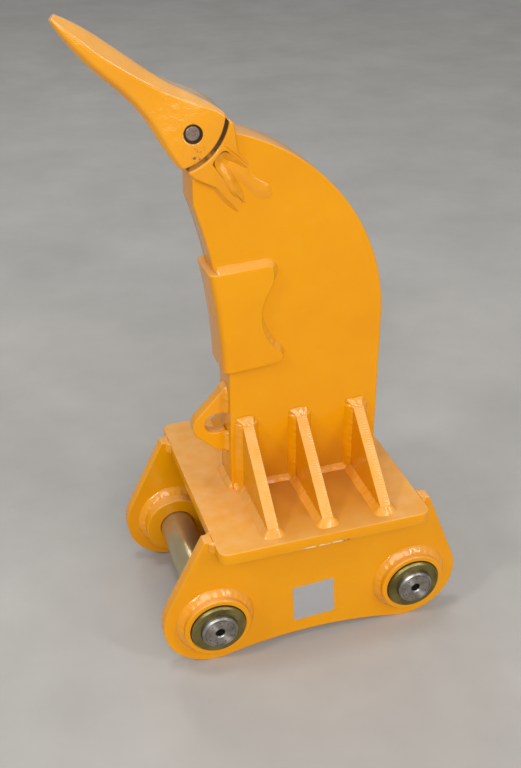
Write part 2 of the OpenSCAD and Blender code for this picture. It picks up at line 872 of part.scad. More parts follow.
// Seams along the adapter's fork and its lower leg
module adapter_welds() {
    fork_end = nose_at(-fork_s, -fork_low);
    low_end = nose_at(-low_leg, -fork_low - leg_drop);
    under_end = nose_at(-low_leg, -fork_low - leg_drop - low_tip);
    color(paint)
        for (side = [near, far]) {
            side_seam(nose_at(-fork_s, fork_high), fork_end, side, seam_break);
            side_seam(fork_end, low_end, side, seam_leg + seam_break);
            side_seam(under_end, nose_at(-low_waist, -low_edge), side, seam_leg);
        }
}

base_plate();
ear_near();
ear_far();
hub_stick_near();
hub_stick_far();
hub_link_near();
hub_link_far();
collar_stick_near();
collar_stick_far();
collar_link_near();
collar_link_far();
stick_pin();
link_pin();
shank();
gusset_near_1();
gusset_near_2();
gusset_near_3();
gusset_far_1();
gusset_far_2();
gusset_far_3();
lifting_lug();
shroud();
adapter();
tooth();
tooth_pin();
pin_retainer();
foot_welds();
ear_welds();
hub_welds();
lug_welds();
shroud_welds();
adapter_welds();
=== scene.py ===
# %% [markdown]
# # A pin-on ripper, dressed for its picture
# The real object is a welded steel ripper: a thick curved shank with a cast tooth on its nose,
# standing on a base plate whose two ears carry the pins of an excavator. The solids come from the
# frame in their true place and size. Here they get what steel in the workshop has and plain solids
# lack: softened edges under thick enamel, rippled weld beads, cast skin, plated and turned metal.

import math
from functools import partial

import bpy
import numpy as np
from mathutils import Matrix, Vector


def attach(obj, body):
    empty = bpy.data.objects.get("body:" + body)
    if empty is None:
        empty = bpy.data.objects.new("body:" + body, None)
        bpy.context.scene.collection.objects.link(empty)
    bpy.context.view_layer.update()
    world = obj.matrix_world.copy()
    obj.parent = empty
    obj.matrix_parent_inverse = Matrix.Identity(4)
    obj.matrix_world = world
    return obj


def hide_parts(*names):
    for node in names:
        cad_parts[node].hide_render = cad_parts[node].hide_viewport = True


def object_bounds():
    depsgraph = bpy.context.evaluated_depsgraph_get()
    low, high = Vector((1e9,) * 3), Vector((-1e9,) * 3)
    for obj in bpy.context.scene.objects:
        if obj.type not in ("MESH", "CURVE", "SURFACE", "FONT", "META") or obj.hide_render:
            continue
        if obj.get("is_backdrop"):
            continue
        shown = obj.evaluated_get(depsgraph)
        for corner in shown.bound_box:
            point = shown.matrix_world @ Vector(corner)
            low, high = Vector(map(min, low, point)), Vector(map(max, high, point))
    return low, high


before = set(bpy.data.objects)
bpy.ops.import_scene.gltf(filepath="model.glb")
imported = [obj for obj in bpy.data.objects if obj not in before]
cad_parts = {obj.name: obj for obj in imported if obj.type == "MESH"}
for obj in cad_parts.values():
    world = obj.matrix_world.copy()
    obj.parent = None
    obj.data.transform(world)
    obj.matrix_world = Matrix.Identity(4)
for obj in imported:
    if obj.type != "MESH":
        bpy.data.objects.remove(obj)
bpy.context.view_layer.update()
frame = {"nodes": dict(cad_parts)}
nodes, scene = frame["nodes"], bpy.context.scene

# %% [markdown]
# ## Sizes
# The pieces repeat the sizes of the solids, in millimetres, so that each one lies on what carries
# it. X runs from the stick pin to the link pin, Y across the ears and Z up. A place on the nose is
# easier to give by its distance along the tooth's axis and its distance across it, so one function
# turns those two numbers into X and Z.

# %% Sizes in millimetres
MM = 0.001
SIDES = ((-1.0, "near"), (1.0, "far"))
PINS, PIN_MID = (("stick", 0.0), ("link", 400.0)), 200.0
EAR_IN, EAR_OUT, LOBE_R, HUB_R = 155.0, 180.0, 100.0, 65.0
PLATE_X0, PLATE_X1, PLATE_Y, PLATE_LOW, PLATE_TOP = 1.0, 414.0, 225.0, 166.0, 191.0
SHANK_X0, SHANK_X1, SHANK_Y = 79.5, 374.0, 35.0
FRONT_R, FRONT_Z = 1150.0, 424.0
FRONT_X = SHANK_X0 - FRONT_R
BACK_R, BACK_Z = 387.0, 520.0
BACK_X = SHANK_X1 - BACK_R
LIP_X, CUT_S = 24.5, -24.0
GUSSET_X, GUSSET_T = (99.5, 205.25, 321.0), 22.0
GUSSET_TOP, GUSSET_NECK, GUSSET_OUT, GUSSET_TOE = 338.0, 44.0, 196.0, 203.0
TILT = math.radians(42.7)
ALONG = np.array([-math.cos(TILT), math.sin(TILT)])
ACROSS = np.array([math.sin(TILT), math.cos(TILT)])
NOSE = np.array([47.5, 878.7])


def nose_at(s, w):
    """X and Z of a point: the nose's origin plus s along the tooth's axis plus w across it."""
    s, w = np.broadcast_arrays(np.asarray(s, float), np.asarray(w, float))
    return NOSE + s[..., None] * ALONG + w[..., None] * ACROSS


print("tooth's rear end at X, Z:", nose_at(0, 0))

# %% [markdown]
# ## From arrays to pieces
# Every new piece is a grid of points: rows of points that are joined to the next row by
# four-sided faces, and closed at its ends by one large face. A grid may come out inside out, so the
# sign of its volume decides whether its faces are turned round. Large flat ends keep flat shading,
# because smooth shading would bend the light across them.

# %% Grids and blocks
def grid_faces(rows, cols, closed):
    """Four-sided faces of a grid whose columns go all round: a corner, the next one in its row, and the two
    below them. In a closed grid the first row follows the last."""
    i, j = np.arange(rows - (not closed))[:, None], np.arange(cols)[None, :]
    a, b = i * cols + j, i * cols + (j + 1) % cols
    return np.stack([a, b, b + cols, a + cols], -1).reshape(-1, 4) % (rows * cols)


def block(rings, closed=False):
    """A block from rings of points: faces between rings, and a large face on both end rings of an open grid.
    The volume is the sum of the corner products of all triangles; a negative one turns every face."""
    rows, cols = rings.shape[:2]
    pts = rings.reshape(-1, 3)
    quads = grid_faces(rows, cols, closed)
    ends = [] if closed else [np.arange(cols)[::-1], (rows - 1) * cols + np.arange(cols)]
    p = pts - pts.mean(0)
    tri = np.concatenate([quads[:, :3], quads[:, [0, 2, 3]]])
    volume = np.einsum("ij,ij->", p[tri[:, 0]], np.cross(p[tri[:, 1]], p[tri[:, 2]]))
    for e in ends:
        q = p[e]
        volume += np.einsum("j,ij->", q[0], np.cross(q[1:-1], q[2:]))
    if volume < 0:
        quads = quads[:, ::-1]
        ends = [e[::-1] for e in ends]
    return pts, quads, ends


def new_object(name, data):
    """A new object in the scene, at the origin."""
    thing = bpy.data.objects.new(name, data)
    scene.collection.objects.link(thing)
    return thing


def put(name, blocks, material, node=None, sharp=None):
    """One object from a list of blocks, at the origin, with its points in metres.
    It rides on the only body, and stands for the CAD node of the same place if one is named."""
    pts, faces, flat, base = [], [], [], 0
    for p, quads, ends in blocks:
        pts.append(p)
        faces += (quads + base).tolist() + [(e + base).tolist() for e in ends]
        flat += [False] * len(quads) + [True] * len(ends)
        base += len(p)
    mesh = bpy.data.meshes.new(name)
    mesh.from_pydata((np.concatenate(pts) * MM).tolist(), [], faces)
    mesh.polygons.foreach_set("use_smooth", ~np.array(flat))
    if sharp:
        mesh.set_sharp_from_angle(angle=math.radians(sharp))
    mesh.materials.append(material)
    piece = new_object(name, mesh)
    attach(piece, "root")
    if node:
        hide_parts(node)
    print(f"{name}: {len(faces)} faces")
    return piece


# %% [markdown]
# ## Enamel, and what lies under it
# The ripper is sprayed in one thick coat of orange-yellow enamel over plate, castings and welds
# alike. Close up the coat has shallow dimples and drifts a little in colour. Faces that look up are
# paler: partly a dusty film, partly a painted sheen of the bright sky. Where it runs thick, on
# castings and welds, it sets to a clear glossy film. All painted finishes share that, so it is one
# node group with its own inputs, and only the surface under the coat differs: rolled plate, cast
# skin, a flame-cut edge with fine drag lines, or a weld.

# %% Nodes, their inputs and math
def new_node(kind, *values):
    """A node of the given kind, in the tree of the first socket among the values."""
    return next(v for v in values if hasattr(v, "node")).id_data.nodes.new(kind)


def feed(socket, value):
    """Give a socket the output of another one, a number, or an RGB triple."""
    if hasattr(value, "node"):
        socket.id_data.links.new(value, socket)
    else:
        socket.default_value = (*value, 1.0) if isinstance(value, tuple) else value


def wire(node, **inputs):
    """Feed the inputs of a node by their names, with underscores for spaces."""
    for key, value in inputs.items():
        feed(node.inputs[key.replace("_", " ")], value)
    return node


def add(kind, **inputs):
    """A node of the given kind, with its inputs fed by name."""
    return wire(new_node(kind, *inputs.values()), **inputs)


def calc(operation, first, *others):
    """Math on sockets or numbers. With more than two values, each result goes on to the next value."""
    for other in others or (None,):
        n = new_node("ShaderNodeMath", first, other)
        n.operation = operation
        feed(n.inputs[0], first)
        if other is not None:
            feed(n.inputs[1], other)
        first = n.outputs[0]
    return first


plus, minus, times = (partial(calc, name) for name in ("ADD", "SUBTRACT", "MULTIPLY"))


def distance(a, b):
    """Root of the sum of two squares."""
    return calc("SQRT", plus(times(a, a), times(b, b)))


# %% Noise, masks and mixes
def noise(vector, scale, detail=2.0, rough=0.5):
    """Fractal noise at a scale in cycles per metre."""
    n = add("ShaderNodeTexNoise", Vector=vector, Scale=scale, Detail=detail, Roughness=rough)
    return n.outputs["Fac"]


def ramp(value, lo, hi, out_lo=0.0, out_hi=1.0):
    """A straight rise from out_lo at lo to out_hi at hi, held at both ends."""
    n = add("ShaderNodeMapRange", Value=value, From_Min=lo, From_Max=hi, To_Min=out_lo, To_Max=out_hi)
    return n.outputs["Result"]


def band(value, lo, hi, soft):
    """A mask that is 1 between lo and hi and falls to 0 over soft on both sides."""
    return times(ramp(value, lo - soft, lo), ramp(value, hi, hi + soft, 1.0, 0.0))


def blend(factor, a, b):
    """Mix of two colours; each takes a socket or an RGB triple."""
    n = new_node("ShaderNodeMix", factor)
    n.data_type = "RGBA"
    for socket, value in zip((n.inputs["Factor"], n.inputs[6], n.inputs[7]), (factor, a, b)):
        feed(socket, value)
    return n.outputs[2]


def place(vector):
    """The X, Y and Z outputs of a position, in metres, or of a direction."""
    return add("ShaderNodeSeparateXYZ", Vector=vector).outputs


def facing_up(vector):
    """How far the surface faces up: the Z of its normal."""
    return place(new_node("ShaderNodeNewGeometry", vector).outputs["Normal"])["Z"]


# %% The coat of enamel, as a node group
# Colour: the tint drifts between a deeper and a paler one on slow noise, and it is paled where the surface
# faces up, partly as a dusty film and partly as a painted sheen of the sky. Roughness: slow noise about a middle
# value. Height: fine dimples and broad sags.
TINT, DUST_AND_SKY_SHEEN = (0.74, 0.289, 0.001), (0.82, 0.575, 0.30)
ENAMEL = bpy.data.node_groups.new("enamel_coat", "ShaderNodeTree")
for way, sockets in (
    ("INPUT", {"Vector": "Vector", "Tint": "Color", "Dust": "Float", "Dimples": "Float"}),
    ("OUTPUT", {"Color": "Color", "Roughness": "Float", "Height": "Float"}),
):
    for key, kind in sockets.items():
        ENAMEL.interface.new_socket(key, in_out=way, socket_type="NodeSocket" + kind)
given, out = ENAMEL.nodes.new("NodeGroupInput").outputs, ENAMEL.nodes.new("NodeGroupOutput")
vector = given["Vector"]
drift = ramp(noise(vector, 9.0, 3.0), 0.3, 0.7)
tones = [add("ShaderNodeHueSaturation", Color=given["Tint"], Hue=hue, Saturation=1.0, Value=value).outputs[0]
         for hue, value in ((0.498, 0.97), (0.502, 1.02))]
# Painted sheen: faces that look up are blended towards a pale tan, partly a dusty film and partly the sky's
# reflection.
facing_sky = ramp(facing_up(vector), 0.35, 1.0)
patchy = ramp(noise(vector, 38.0, 4.0), 0.3, 0.75, 0.45, 1.0)
dust_sheen_veil = times(facing_sky, patchy, given["Dust"])
sheen = ramp(noise(vector, 22.0, 3.0), 0.25, 0.75, 0.20, 0.30)
dimples, sags = noise(vector, 260.0, 1.0), noise(vector, 45.0, 1.0)
wire(out, Color=blend(dust_sheen_veil, blend(drift, *tones), DUST_AND_SKY_SHEEN), Roughness=plus(sheen, times(dust_sheen_veil, 0.5)),
     Height=plus(times(dimples, given["Dimples"]), times(sags, 0.8)))
print("group:", ENAMEL.name)

# %% A painted finish
def finish(name):
    """A new material with its Principled shader and its Object coordinates."""
    m = bpy.data.materials.new(name)
    m.use_nodes = True
    tree = m.node_tree
    return m, tree.nodes["Principled BSDF"], tree.nodes.new("ShaderNodeTexCoord").outputs["Object"]


def bump(shader, height, millimetres):
    """A Bump node whose height of 1 stands for the given depth, under the base and the clear film."""
    b = add("ShaderNodeBump", Strength=1.0, Distance=millimetres * MM, Height=height)
    wire(shader, Normal=b.outputs[0], Coat_Normal=b.outputs[0])


def painted(name, dust_and_sheen, under=None, depth=0.10, marks=None, matt=0.0, gloss=0.5):
    """Enamel over one kind of surface. under(vector) gives the height of that surface, and
    marks(vector, colour, rough) gives back colour and roughness with local scuffs and painted shade. matt is
    added to the roughness of thin dry coats; gloss is the weight of the clear film."""
    m, shader, vector = finish(name)
    coat = new_node("ShaderNodeGroup", vector)
    coat.node_tree = ENAMEL
    wire(coat, Vector=vector, Tint=TINT, Dust=dust_and_sheen, Dimples=0.25)
    colour, rough, height = coat.outputs
    if marks:
        colour, rough = marks(vector, colour, rough)
    if under:
        height = plus(height, under(vector))
    wire(shader, Base_Color=colour, Roughness=plus(rough, matt), IOR=1.5,
         Coat_Weight=gloss, Coat_Roughness=0.15, Specular_IOR_Level=0.08)
    bump(shader, height, depth)
    return m


# %% Surfaces under the coat
def cast_skin(vector):
    """Sand-cast skin: broad lumps plus fine grain."""
    broad, grain = noise(vector, 60.0, 3.0), noise(vector, 420.0, 2.0)
    return plus(times(broad, 3.5), times(grain, 0.5))


def drag_lines(vector):
    """Drag lines of a cut: close lines across the plate's thickness, bent by slow noise."""
    w = add("ShaderNodeTexWave", Vector=vector, Scale=95.0, Distortion=1.6, Detail=2.0, Detail_Scale=1.2)
    w.bands_direction = "Z"
    return times(w.outputs["Fac"], 1.4)


def weld_skin(vector):
    """Fine spatter and slag marks on a bead; its ripples are in the mesh."""
    return times(noise(vector, 170.0, 3.0), 2.2)


# %% Chips, knocks and painted shade
PRIMER, RUST, NOOK_SHADE = (0.69, 0.59, 0.45), (0.13, 0.056, 0.024), (0.50, 0.197, 0.012)


def chips_and_nook_shade(vector, colour, rough):
    """The base plate's lower near edge is chipped: pale primer in a ragged line, brown at one end. Between the
    gussets the plate's top and the shank's foot are blended to dark brown: painted shade for the nooks, darker
    towards the bottom on the shank."""
    x, y, z = place(vector)
    from_mid = calc("ABSOLUTE", y)
    low_edge = times(band(z, 0.1672, 0.1696, 0.0012), ramp(y, -0.2232, -0.2244))
    ragged = ramp(noise(vector, 150.0, 4.0, 0.65), 0.46, 0.52)
    chip = times(band(x, 0.170, 0.246, 0.015), low_edge, ragged)
    bare = blend(ramp(x, 0.232, 0.240), PRIMER, RUST)
    # Painted shade: the nooks between the gussets, on the plate's top and the shank's foot, go dark brown.
    plate_top = times(band(z, 0.1895, 0.1915, 0.0005), ramp(from_mid, 0.262, 0.150, 0.0, 0.8))
    plate_nook_shade = times(band(x, 0.128, 0.320, 0.02), plate_top)
    shank_face = times(ramp(z, 0.33, 0.20, 0.0, 0.75), band(from_mid, 0.0345, 0.0355, 0.0005))
    shank_nook_shade = times(band(x, 0.121, 0.320, 0.02), shank_face)
    colour = blend(calc("MAXIMUM", plate_nook_shade, shank_nook_shade), colour, NOOK_SHADE)
    return blend(chip, colour, bare), plus(rough, times(chip, 0.3))


def from_nose(x, z, axis):
    """Distance of X and Z from the nose's origin along an axis, in metres."""
    return plus(*(times(minus(value, float(start) * MM), float(step))
                  for value, start, step in zip((x, z), NOSE, axis)))


def tooth_knocks_and_top_shade(vector, colour, rough):
    """Brown knocks near the tooth's rear edge, where castings strike each other in handling. The bevels that
    face up are darkened to a dull brown in patches: partly a dusty film, partly painted shade."""
    # Painted shade, with a dusty film: patches on the bevels that face up are darkened to dull brown.
    patchy = ramp(noise(vector, 30.0, 4.0), 0.3, 0.7, 0.3, 0.65)
    lies = times(ramp(facing_up(vector), 0.25, 0.5), patchy)
    colour = blend(lies, colour, (0.53, 0.29, 0.10))
    x, _, z = place(vector)
    s, w = from_nose(x, z, ALONG), from_nose(x, z, ACROSS)
    rear = times(band(s, -0.012, 0.016, 0.010), ramp(w, 0.0, -0.025))
    knocks = ramp(noise(vector, 120.0, 4.0, 0.62), 0.57, 0.62)
    return blend(times(rear, knocks), colour, (0.16, 0.068, 0.024)), rough


# %% Painted finishes
PAINT = painted("paint_plate", 0.40, marks=chips_and_nook_shade, gloss=0.4)
PAINT_CUT = painted("paint_cut_edge", 0.62, drag_lines, 0.16)
PAINT_CAST = painted("paint_cast", 0.15, cast_skin, 0.16, gloss=0.8)
PAINT_TOOTH = painted("paint_tooth", 0.55, cast_skin, 0.24, tooth_knocks_and_top_shade, gloss=1.0)
PAINT_WELD = painted("paint_weld", 0.3, weld_skin, 0.16, matt=0.05, gloss=1.0)
print("painted finishes:", [m.name for m in (PAINT, PAINT_CUT, PAINT_CAST, PAINT_TOOTH, PAINT_WELD)])

# %% [markdown]
# ## Plated and turned metal
# The collars and the middle of the pins are plated in yellow zinc, which looks olive with a faint
# rainbow. The pins' ends are bare and show the rings of the lathe. A turned ring pattern needs the
# distance from the pin's axis, so the material measures it from the nearer of the two axes.

# %% Yellow zinc
def from_axis(vector):
    """Distance from the nearer pin axis, in metres, and Y: X is folded about the middle of the two pins."""
    x, y, z = place(vector)
    mid = PIN_MID * MM
    folded = minus(calc("ABSOLUTE", minus(x, mid)), mid)
    return distance(folded, z), y


# Olive to gold on slow noise, with fine turning rings in the height
ZINC, shader, vector = finish("zinc_plate")
r, y = from_axis(vector)
tone = ramp(noise(vector, 26.0, 4.0), 0.3, 0.7)
wire(shader, Base_Color=blend(tone, (0.135, 0.110, 0.034), (0.285, 0.240, 0.085)),
     Roughness=ramp(noise(vector, 60.0, 3.0), 0.3, 0.7, 0.26, 0.40), Metallic=0.9)
bump(shader, calc("SINE", times(plus(r, y), 9000.0)), 0.012)
print("finish:", ZINC.name)

# %% Turned pins
def end_light_and_shade(vector, r):
    """Painted light and shade on a pin's end. A bright fan is a painted highlight: turned rings throw the light
    back in two opposite sectors, the cos of twice the angle to a power. Dark dots are painted shade of dents
    stamped at nine places on a ring, and some are missing."""
    x, _, z = place(vector)
    past_mid = calc("GREATER_THAN", x, PIN_MID * MM)
    angle = calc("ARCTAN2", z, minus(x, times(past_mid, 2 * PIN_MID * MM)))
    twice = calc("COSINE", plus(times(angle, 2.0), 1.9))
    fan = calc("POWER", calc("MAXIMUM", twice, 0.0), 7.0)
    ring, count = 0.024, 9
    turn = calc("FRACT", plus(times(angle, count / (2 * math.pi)), 5.2))
    arc = times(minus(turn, 0.5), 2 * math.pi * ring / count)
    spot = ramp(distance(minus(r, ring), arc), 0.0012, 0.0018, 1.0, 0.0)
    return fan, times(spot, ramp(noise(vector, 35.0, 0.0), 0.42, 0.46))


# Plated along its length; the ends, past the collars' faces, are bare. On the ends a bright fan is a painted
# highlight, while a dark groove ring, dark dots and a dark bore are painted shade.
PIN_STEEL, shader, vector = finish("pin_turned")
r, y = from_axis(vector)
at_end = ramp(calc("ABSOLUTE", y), 0.2080, 0.2088)
spots = ramp(noise(vector, 90.0, 4.0, 0.6), 0.35, 0.7)
fan, dots = end_light_and_shade(vector, r)
bare = blend(spots, (0.19, 0.171, 0.148), (0.34, 0.317, 0.289))
# Painted highlight: the fan pales the bare steel towards light grey.
bare = blend(times(fan, 0.75), bare, (0.62, 0.60, 0.58))
# Painted shade: a dark ring for a groove and dark dots for stamped dents, which the mesh doesn't have.
groove = times(band(r, 0.0288, 0.0296, 0.0005), 0.6)
bare = blend(calc("MAXIMUM", dots, groove), bare, (0.05, 0.042, 0.036))
tone = ramp(noise(vector, 30.0, 3.0), 0.3, 0.7)
steel = blend(at_end, blend(tone, (0.47, 0.395, 0.225), (0.53, 0.45, 0.265)), bare)
# Painted shade: the bore on the axis is turned nearly black.
bore = ramp(r, 0.0086, 0.0094, 1.0, 0.0)
wire(shader, Base_Color=blend(bore, steel, (0.035, 0.03, 0.026)),
     Roughness=ramp(noise(vector, 70.0, 3.0), 0.3, 0.7, 0.29, 0.33), Metallic=0.8)
bump(shader, times(calc("SINE", times(r, 5200.0)), at_end), 0.03)
print("finish:", PIN_STEEL.name)

# %% Oiled steel of the tooth's pin
# Dark, with a rusty tinge; the ring that keeps the pin in takes the same finish
TOOTH_PIN_STEEL, shader, vector = finish("tooth_pin_steel")
rust = ramp(noise(vector, 150.0, 4.0, 0.6), 0.4, 0.65)
wire(shader, Base_Color=blend(rust, (0.30, 0.24, 0.21), (0.22, 0.12, 0.08)),
     Roughness=ramp(rust, 0.0, 1.0, 0.3, 0.6), Metallic=0.7)
bump(shader, noise(vector, 500.0, 2.0), 0.05)
nodes["pin_retainer"].material_slots[0].material = TOOTH_PIN_STEEL
print("finish:", TOOTH_PIN_STEEL.name)

# %% Bare label film
# Satin silver with a fine grain along its length
LABEL, shader, vector = finish("label_film")
stretch = add("ShaderNodeMapping", Vector=vector)
stretch.inputs["Scale"].default_value = (0.04, 1.0, 1.0)
grain = noise(stretch.outputs[0], 900.0, 2.0)
wire(shader, Base_Color=blend(grain, (0.37, 0.366, 0.37), (0.48, 0.476, 0.48)),
     Roughness=ramp(grain, 0.3, 0.7, 0.32, 0.42), Metallic=0.35)
print("finish:", LABEL.name)

# %% Rusty gap and its painted shade
# Bare casting behind the tooth and in the pin's recess: rusty dark brown that is also painted shade for the deep
# gap, with paler ochre patches low down that are a painted reflection
GAP_RUST_AND_SHADE, shader, vector = finish("gap_rust_and_shade")
lit_low_down = ramp(place(vector)["Z"], 0.885, 0.860)
patchy = times(ramp(noise(vector, 90.0, 3.0), 0.35, 0.6), lit_low_down)
wire(shader, Base_Color=blend(patchy, (0.060, 0.032, 0.013), (0.34, 0.15, 0.024)),
     Roughness=ramp(patchy, 0.0, 1.0, 0.75, 0.45), Specular_IOR_Level=0.12)
bump(shader, noise(vector, 300.0, 3.0), 0.2)
print("finish:", GAP_RUST_AND_SHADE.name)

# %% [markdown]
# ## Plates with softened edges
# The plates are cut from thick steel, their edges are broken with a grinder and the paint rounds
# them further. A bevel modifier would do on a simple box, but these outlines mix arcs and corners,
# so a plate is worked out directly: its outline is drawn with rounded corners, then carried up a
# small quarter-round at each face. The offset of a point is along the bisector of its two edges.

# %% Rounded outlines
def rounded(corners, radii, arc=7, least=0.0):
    """An outline through corners: each corner is replaced by an arc that touches its two edges. The arc
    starts radius times tan(turn / 2) before the corner, and turns about its own centre. Outer corners have
    at least the radius least, so that a later inset can't cross itself. Stacks of outlines work as well."""
    p = np.asarray(corners, float)
    d = np.roll(p, -1, -2) - p
    d = d / np.linalg.norm(d, axis=-1, keepdims=True)
    before = np.roll(d, 1, -2)
    turn = np.arctan2(before[..., 0] * d[..., 1] - before[..., 1] * d[..., 0], (before * d).sum(-1))
    outer = turn * np.sign(turn.sum(-1, keepdims=True)) > 0.2
    r = np.maximum(np.asarray(radii, float), np.where(outer, least, 0.0))
    start = p - before * (r * np.tan(np.abs(turn) / 2))[..., None]
    left = np.stack([-before[..., 1], before[..., 0]], -1) * np.sign(turn)[..., None]
    centre = start + left * r[..., None]
    a = turn[..., None] * np.linspace(0, 1, arc)
    v = (start - centre)[..., None, :]
    out = centre[..., None, :] + np.stack([v[..., 0] * np.cos(a) - v[..., 1] * np.sin(a),
                                           v[..., 0] * np.sin(a) + v[..., 1] * np.cos(a)], -1)
    out = out.reshape(*p.shape[:-2], -1, 2)
    if p.ndim > 2:
        return out
    return out[np.linalg.norm(out - np.roll(out, 1, 0), axis=1) > 0.01]


def arc_points(cx, cz, r, start, stop, n):
    """Points of an arc about (cx, cz), from the angle start to stop in degrees."""
    a = np.radians(np.linspace(start, stop, n))
    return np.stack([cx + r * np.cos(a), cz + r * np.sin(a)], 1)


def touch_angle(centre, r, p, side):
    """Angle, in degrees, at which the line from p touches the circle about centre: the angle to p, plus or
    minus acos(r / distance)."""
    v = np.array(p) - centre
    return math.degrees(math.atan2(v[1], v[0]) + side * math.acos(r / math.hypot(*v)))


# %% Slabs
def inward(outline):
    """Unit step into the outline at each point, along the bisector, lengthened at corners."""
    d = np.roll(outline, -1, 0) - outline
    d /= np.linalg.norm(d, axis=1, keepdims=True)
    n = np.stack([-d[:, 1], d[:, 0]], 1)
    m = n + np.roll(n, 1, 0)
    m /= np.maximum((m * m).sum(1, keepdims=True) / 2, 0.3)
    x, z = outline.T
    return m * np.sign((x * np.roll(z, -1) - z * np.roll(x, -1)).sum())


def slab(outline, low, high, edge, axis, steps=5):
    """A plate: the outline carried along an axis from low to high. Near each face the outline is drawn in
    by edge times (1 - sin q) while it rises by edge times (1 - cos q), a quarter-round as q goes to 90."""
    q = np.radians(np.linspace(0, 90, steps))
    inset, rise = edge * (1 - np.sin(q)), edge * (1 - np.cos(q))
    inset = np.concatenate([inset, inset[::-1]])
    level = np.concatenate([low + rise, (high - rise)[::-1]])
    ring = outline[None] + inset[:, None, None] * inward(outline)[None]
    local = np.concatenate([ring, np.broadcast_to(level[:, None, None], (*ring.shape[:2], 1))], -1)
    order = {"x": (2, 0, 1), "y": (0, 2, 1), "z": (0, 1, 2)}[axis]
    return block(local[..., order])


# %% [markdown]
# ## Base plate, ears and shank
# The base plate is a rectangle with round corners. Each ear has two round lobes, slanted edges
# that meet them, horns that hook round the plate's ends and a shallow arch below. The shank has a
# straight foot, then a hollow front and a round back, and is cut square to the tooth's axis.

# %% Base plate
plate_corners = [(PLATE_X0, -PLATE_Y), (PLATE_X1, -PLATE_Y), (PLATE_X1, PLATE_Y), (PLATE_X0, PLATE_Y)]
put("plate_body", [slab(rounded(plate_corners, 19, 13), PLATE_LOW, PLATE_TOP, 2.2, "z")], PAINT, "base_plate")

# %% Ears
HORN, ARCH_HALF, ARCH_RISE, LOBE_STEPS, ARCH_STEPS = 17.0, 185.0, 22.0, 34, 41
stick_at, link_at = ((x, 0.0) for _, x in PINS)
horn_front, horn_back = (PLATE_X0 - HORN, PLATE_TOP), (PLATE_X1 + HORN, PLATE_TOP)
arch_r = (ARCH_HALF**2 + ARCH_RISE**2) / (2 * ARCH_RISE)
arch_end = math.degrees(math.asin(ARCH_HALF / arch_r))
ear_corners = np.concatenate([
    arc_points(*link_at, LOBE_R, -90, touch_angle(link_at, LOBE_R, horn_back, -1), LOBE_STEPS),
    [horn_back, (PLATE_X1, PLATE_TOP), (PLATE_X1, PLATE_LOW)],
    [(PLATE_X0, PLATE_LOW), (PLATE_X0, PLATE_TOP), horn_front],
    arc_points(*stick_at, LOBE_R, touch_angle(stick_at, LOBE_R, horn_front, 1), 270, LOBE_STEPS),
    arc_points(PIN_MID, ARCH_RISE - LOBE_R - arch_r, arch_r, 90 + arch_end, 90 - arch_end, ARCH_STEPS),
])
ear_radii = np.concatenate([np.zeros(LOBE_STEPS), [3, 1, 1, 1, 1, 3], np.zeros(LOBE_STEPS + ARCH_STEPS)])
ear_outline = rounded(ear_corners, ear_radii, least=2.2)
for side, word in SIDES:
    low, high = sorted((side * EAR_IN, side * EAR_OUT))
    put(f"ear_{word}_body", [slab(ear_outline, low, high, 2.0, "y")], PAINT, f"ear_{word}")

# %% Shank
lip_z = FRONT_Z + math.sqrt(FRONT_R**2 - (LIP_X - FRONT_X) ** 2)
cut = nose_at(CUT_S, 0.0)
to_cut = cut - (BACK_X, BACK_Z)
lean = to_cut @ ACROSS
cut_top = cut + (math.sqrt(lean**2 - to_cut @ to_cut + BACK_R**2) - lean) * ACROSS
lip_top = cut + (LIP_X - cut[0]) / ACROSS[0] * ACROSS
front_stop = math.degrees(math.asin((lip_z - FRONT_Z) / FRONT_R))
back_stop = math.degrees(math.atan2(cut_top[1] - BACK_Z, cut_top[0] - BACK_X))
shank_corners = np.concatenate([
    [(SHANK_X0, PLATE_TOP), (SHANK_X1, PLATE_TOP)],
    arc_points(BACK_X, BACK_Z, BACK_R, 0, back_stop, 70),
    [lip_top],
    arc_points(FRONT_X, FRONT_Z, FRONT_R, front_stop, 0, 50),
])
shank_outline = rounded(shank_corners, np.concatenate([[3, 3], np.zeros(69), [3, 4, 4], np.zeros(49)]))
put("shank_body", [slab(shank_outline, -SHANK_Y, SHANK_Y, 2.5, "y")], PAINT, "shank")

# %% [markdown]
# ## Gussets and lifting lug
# Three triangular gussets brace the shank on each side. Their slanted edges are cut edges and
# show drag lines through the paint. The lug is a thick plate with a round end, and its eye is
# closed by the shank's front edge, so its outline is one bent band that needs no hole.

# %% Gussets
GUSSET_CORNERS = np.array([(SHANK_Y, PLATE_TOP), (GUSSET_OUT, PLATE_TOP), (GUSSET_OUT, GUSSET_TOE),
                           (GUSSET_NECK, GUSSET_TOP), (SHANK_Y, GUSSET_TOP)])
for side, word in SIDES:
    gusset_outline = rounded(GUSSET_CORNERS * (side, 1), 3)
    for k, gx in enumerate(GUSSET_X):
        name = f"gusset_{word}_{k + 1}"
        put(name + "_body", [slab(gusset_outline, gx, gx + GUSSET_T, 1.6, "x")], PAINT_CUT, name)

